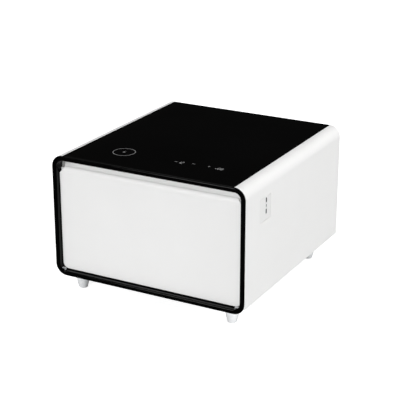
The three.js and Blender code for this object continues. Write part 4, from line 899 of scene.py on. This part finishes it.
def throat():
    """The white sleeve behind the bezel and the face that the gasket meets."""
    inset = 13.5

    def sleeve(grow, y):
        return upright(HALF - inset + grow, LOW + inset - grow, HIGH - inset + grow, 20.0 + grow, y, 16)

    outer = loft("cabinet_mouth", [sleeve(2.5, -283.2), sleeve(2.5, -248.0)])
    bore = loft("bore", [sleeve(0.0, -288.5), sleeve(0.0, -251.0)])
    mouth = loft("mouth", [mouth_ring(0.0, -257.0), mouth_ring(0.0, -240.0)])
    combine(outer, [bore, mouth])
    soften(outer, 0.6, 40)
    dress(outer, white_plastic, "cabinet", "white_plastic", "cabinet_throat")


def liner():
    """The cold box itself, with rounded corners, a flange and a rounded rear edge."""
    front = -247.7
    back = 121.0
    flange = 10.5
    flange_back = front + 2.0
    rear_round = 8.0
    round_start = back - LINER_WALL - rear_round
    rings = [mouth_ring(LINER_WALL, back), mouth_ring(LINER_WALL, flange_back)]
    rings += [mouth_ring(flange, flange_back), mouth_ring(flange, front), mouth_ring(0.0, front)]
    for step in range(7):
        angle = QUARTER * step / 6
        draw = rear_round * (1 - math.cos(angle))
        rings.append(mouth_ring(-draw, round_start + rear_round * math.sin(angle)))
    piece = loft("cold_box", rings)
    dress(soften(piece, 0, 40), liner_plastic, "cabinet", "white_plastic", "cold_box_liner")


# Ports
def slot_outline(port, grow):
    """A port's opening, larger by a distance on every side."""
    z, length, width, tongue, contacts, round_ends = port
    long = length / 2 + grow
    wide = width / 2 + grow
    radius = wide * 0.96 if round_ends else 0.7
    return rounded(PORT_Y - wide, PORT_Y + wide, z - long, z + long, radius, 8)


def panel_outline(grow, steps=8):
    """The port panel's outline, larger by a distance on every side."""
    low_y, high_y, low_z, high_z = PORT_PANEL
    return rounded(low_y - grow, high_y + grow, low_z - grow, high_z + grow, 3.0 + grow, steps)


def port_plate():
    """The panel in the shell's cut-out, with its flange behind the shell and a round front edge."""
    flange_back = 294.7
    flange_face = 296.7
    gap = 0.2
    edge = 0.7
    section = [(-4.0, flange_back), (-4.0, flange_face), (gap, flange_face)]
    for step in range(6):
        angle = QUARTER * step / 5
        section.append((gap + edge * (1 - math.cos(angle)), HALF - edge * (1 - math.sin(angle))))
    piece = loft("port_panel", [along("x", panel_outline(-inset), x) for inset, x in section])
    combine(piece, [prism("hole", "x", slot_outline(port, 0.8), 290.0, 303.0) for port in PORTS])
    soften(piece, 0.25, 40)
    dress(piece, white_plastic, "cabinet", "white_plastic", "side_port_plate")


def port_sockets():
    """Steel shells, painted dark as painted shade inside the openings, with black tongues and their
    contacts, on a small green board.
    """
    pieces = []
    for port in PORTS:
        z, length, width, tongue, contacts, round_ends = port
        shell = prism("shell", "x", slot_outline(port, 0.7), 280.4, HALF - 0.4)
        combine(shell, [prism("room", "x", slot_outline(port, 0.0), 281.2, 302.0)])
        soften(shell, 0.12, 40)
        # Dark steel on the shells: painted shade inside the ports.
        shell.data.materials.append(port_steel_painted_shade)
        pieces.append(shell)
        long = length / 2 - 0.8
        thick = tongue / 2
        outline = rounded(PORT_Y - thick, PORT_Y + thick, z - long, z + long, thick * 0.5, 4)
        blade = prism("tongue", "x", outline, 281.0, HALF - 1.8)
        soften(blade, 0.1, 40)
        blade.data.materials.append(black_plastic)
        pieces.append(blade)
        pitch = 2 * long * 0.78 / contacts
        face = PORT_Y - thick
        for k in range(contacts):
            middle = z + (k - (contacts - 1) / 2) * pitch
            outline = rounded(face - 0.12, face + 0.1, middle - 0.4, middle + 0.4, 0.05, 2)
            pad = prism("pad", "x", outline, 290.0, HALF - 2.6)
            pad.data.materials.append(copper_pipe)
            pieces.append(pad)
    board = prism("board", "x", rounded(-202.6, -176.4, 295.8, 345.7, 1.0, 4), 278.8, 280.4)
    board.data.materials.append(board_green)
    pieces.append(soften(board, 0.15, 40))
    made = joined("port_sockets", pieces)
    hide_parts("port_module")
    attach(made, "cabinet")


# Marks on the glass
SEGMENTS = {"0": "abcdef", "1": "bc", "2": "abged", "8": "abcdefg"}


def stroke(start, end, width):
    """A flat bar with pointed ends between two places on the glass."""
    start = Vector(start)
    end = Vector(end)
    ahead = (end - start).normalized()
    side = Vector((-ahead.y, ahead.x)) * width / 2
    tip = ahead * width / 2
    outline = [start, start + tip + side, end - tip + side]
    outline += [end, end - tip - side, start + tip - side]
    return [(p.x, p.y) for p in outline]


def digit(text, x, y, wide, tall, width):
    """The bars of a seven-segment digit whose lower left corner is at x, y."""
    corner = {
        "a": ((0, 1), (1, 1)), "b": ((1, 1), (1, 0.5)), "c": ((1, 0.5), (1, 0)),
        "d": ((0, 0), (1, 0)), "e": ((0, 0.5), (0, 0)), "f": ((0, 1), (0, 0.5)),
        "g": ((0, 0.5), (1, 0.5)),
    }
    bars = []
    for name in SEGMENTS[text]:
        (ax, ay), (bx, by) = corner[name]
        bars.append(stroke((x + ax * wide, y + ay * tall), (x + bx * wide, y + by * tall), width))
    return bars


def marks_material():
    """Pale grey print."""
    made = Surface("glass_marks", 0.5)
    made.colours(made.noise(300.0), grey(0.24), grey(0.34))
    made.roughness(made.noise(200.0), 0.4, 0.6)
    return made.material


def flat_mark(name, outline, material):
    """A printed shape on the glass."""
    piece = prism(name, "z", outline, HIGH + MARK_LOW, HIGH + MARK_HIGH)
    piece.data.materials.append(material)
    return piece


def ring_mark(name, x, y, radius, width, material):
    """A printed ring on the glass."""
    half = width / 2
    rings = []
    for offset, rise in ((-half, MARK_LOW), (half, MARK_LOW), (half, MARK_HIGH), (-half, MARK_HIGH)):
        points = arc(x, y, radius + offset, 0, 4, 72)[1:]
        rings.append(along("z", points, HIGH + rise))
    piece = loft(name, rings, True)
    piece.data.materials.append(material)
    return piece


def glass_marks():
    """Printed touch marks: a charging ring, two small readings and their keys."""
    material = marks_material()
    ring_x = -134.0
    ring_y = FRONT + 116.0
    bolt = [(1.5, 6.0), (-4.5, -1.2), (-0.8, -1.2), (-2.0, -6.5), (4.5, 1.2), (0.8, 1.2)]
    strokes = (
        ((29.5, 111.5), (38.5, 111.5), 2.2),
        ((80.5, 118.0), (89.5, 118.0), 2.0),
        ((128.5, 118.0), (135.5, 118.0), 2.2),
        ((132.0, 114.0), (132.0, 122.0), 2.2),
        ((153.5, 114.0), (157.5, 108.5), 2.2),
        ((157.0, 108.5), (161.0, 116.0), 2.2),
    )
    digits = (
        ("1", 41.0, 104.5, 6.5, 14.0),
        ("2", 50.5, 104.5, 6.0, 14.0),
        ("0", 162.0, 107.5, 5.0, 13.0),
        ("8", 170.5, 107.5, 5.0, 13.0),
    )
    bars = []
    for (start_x, start_y), (end_x, end_y), width in strokes:
        bars.append(stroke((start_x, FRONT + start_y), (end_x, FRONT + end_y), width))
    for text, x, y, wide, tall in digits:
        bars += digit(text, x, FRONT + y, wide, tall, 1.9)
    pieces = [ring_mark("ring", ring_x, ring_y, 31.4, 1.6, material)]
    pieces.append(flat_mark("bolt", [(ring_x + x, ring_y + y) for x, y in bolt], material))
    pieces += [flat_mark("bar", bar, material) for bar in bars]
    made = joined("touch_marks", pieces)
    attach(made, "cabinet")


# Small fasteners
def screw_mesh(head_radius, head_height):
    """A pan head with a cross recess, its underside at height zero."""
    profile = [(0.0, 0.0), (head_radius, 0.0)]
    for step in range(7):
        angle = QUARTER * step / 6
        radius = head_radius * (0.55 + 0.45 * math.cos(angle))
        profile.append((radius, head_height * (0.35 + 0.65 * math.sin(angle))))
    profile.append((0.0, head_height))
    head = turned("screw_head", profile, 32)
    tools = []
    reach = head_radius * 0.58
    wide = head_radius * 0.13
    for half_x, half_y in ((reach, wide), (wide, reach)):
        outline = rounded(-half_x, half_x, -half_y, half_y, wide * 0.6, 3)
        tools.append(prism("recess", "z", outline, head_height * 0.35, head_height * 2))
    combine(head, tools)
    soften(head, 0.08, 35, 2)
    mesh = head.data
    bpy.data.objects.remove(head)
    return mesh


def screws(name, places, facing, mesh):
    """Copies of a screw head, each turned a little differently, as one object."""
    pieces = []
    turn = Vector((0, 0, 1)).rotation_difference(Vector(facing)).to_matrix().to_4x4()
    for n, place in enumerate(places):
        copy = mesh.copy()
        copy.materials.clear()
        copy.materials.append(bright)
        spin = Matrix.Rotation(0.7 * n + 0.3, 4, "Z")
        copy.transform(Matrix.Translation(Vector(place) * MM) @ turn @ spin)
        made = bpy.data.objects.new("copy", copy)
        bpy.context.scene.collection.objects.link(made)
        pieces.append(made)
    made = joined(name, pieces)
    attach(made, "cabinet")


def fasteners():
    """Screws of the back panel and the fan, and the flat ones of the cabinet rails."""
    small = screw_mesh(3.4, 1.9)
    flat = screw_mesh(3.6, 1.2)
    edge = 290.7
    places = [(sign * edge, BACK_FACE, z) for sign in (-1, 1) for z in (118.0, 220.0, 322.0)]
    places += [(sign * 110.0, BACK_FACE, 59.0) for sign in (-1, 1)]
    places += [(sign * 160.0, BACK_FACE, 389.0) for sign in (-1, 1)]
    screws("back_panel_screws", places, (0, 1, 0), small)
    fan_place = 150.0
    spread = 52.5
    places = [(fan_place + x * spread, BACK_FACE, fan_place + z * spread) for x in (-1, 1) for z in (-1, 1)]
    screws("fan_screws", places, (0, 1, 0), small)
    for side, sign in (("left", -1), ("right", 1)):
        places = [(sign * 250.0, y, 229.8) for y in (-214.7, -70.1, 74.5)]
        screws("cabinet_rail_screws_" + side, places, (-sign, 0, 0), flat)


# CAD nodes that are kept, with their materials
KEPT = {
    "base_pan": zinc,
    "back_panel": zinc,
    "insulation_foam": foam_yellow,
    "evaporator_plate": aluminium,
    "temperature_sensor": white_plastic,
    "electronics_tray": black_plastic,
    "touch_control_board": board_green,
    "charger_board": board_green,
    "power_board": board_green,
    "charging_coil": copper_pipe,
    "ferrite_disc": ferrite,
    "port_housing": black_plastic,
    "fan_shroud": black_plastic,
    "fan_rotor": black_plastic,
    "fan_motor": copper_pipe,
    "compressor": black_enamel,
    "condenser": aluminium,
    "filter_drier": copper_pipe,
    "capillary_tube": copper_pipe,
    "discharge_pipe": copper_pipe,
    "suction_pipe": copper_pipe,
    "board_tray": black_plastic,
    "power_inlet": black_plastic,
}
for place in ("left", "right"):
    for rail in ("cabinet_rail_", "middle_rail_", "drawer_rail_"):
        KEPT[rail + place] = rolled
for corner in ("left_front", "right_front", "left_rear", "right_rear"):
    KEPT["compressor_bolt_" + corner] = bright
    KEPT["compressor_mount_" + corner] = black_rubber

BEVELS = {
    "back_panel": 0.25, "power_inlet": 0.3, "fan_shroud": 0.3, "fan_rotor": 0.15, "base_pan": 0.3,
    "condenser": 0.15, "compressor": 0.6, "electronics_tray": 0.3, "port_housing": 0.3,
    "board_tray": 0.3,
}


def dress_kept():
    """Materials and softly broken edges for the CAD nodes that are kept."""
    for name, material in KEPT.items():
        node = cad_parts[name]
        for material_slot in node.material_slots:
            material_slot.material = material
        flatten = node.modifiers.new("flat", "DECIMATE")
        flatten.decimate_type = "DISSOLVE"
        flatten.angle_limit = math.radians(0.5)
        step = node.modifiers.new("edges", "BEVEL")
        step.width = BEVELS.get(name, 0.2) * MM
        step.segments = 2
        step.limit_method = "ANGLE"
        step.angle_limit = math.radians(40)
        step.use_clamp_overlap = True
        step.harden_normals = True


build_world()
build_floor()
build_lamps()
build_camera()
front_bezel()
wrap_shell()
glass_top()
pan_hem()
feet()
drawer_front()
front_foam()
inner_panel()
gasket()
tub()
throat()
liner()
port_plate()
port_sockets()
glass_marks()
fasteners()
dress_kept()

scene = bpy.context.scene
scene.view_settings.view_transform = "Standard"
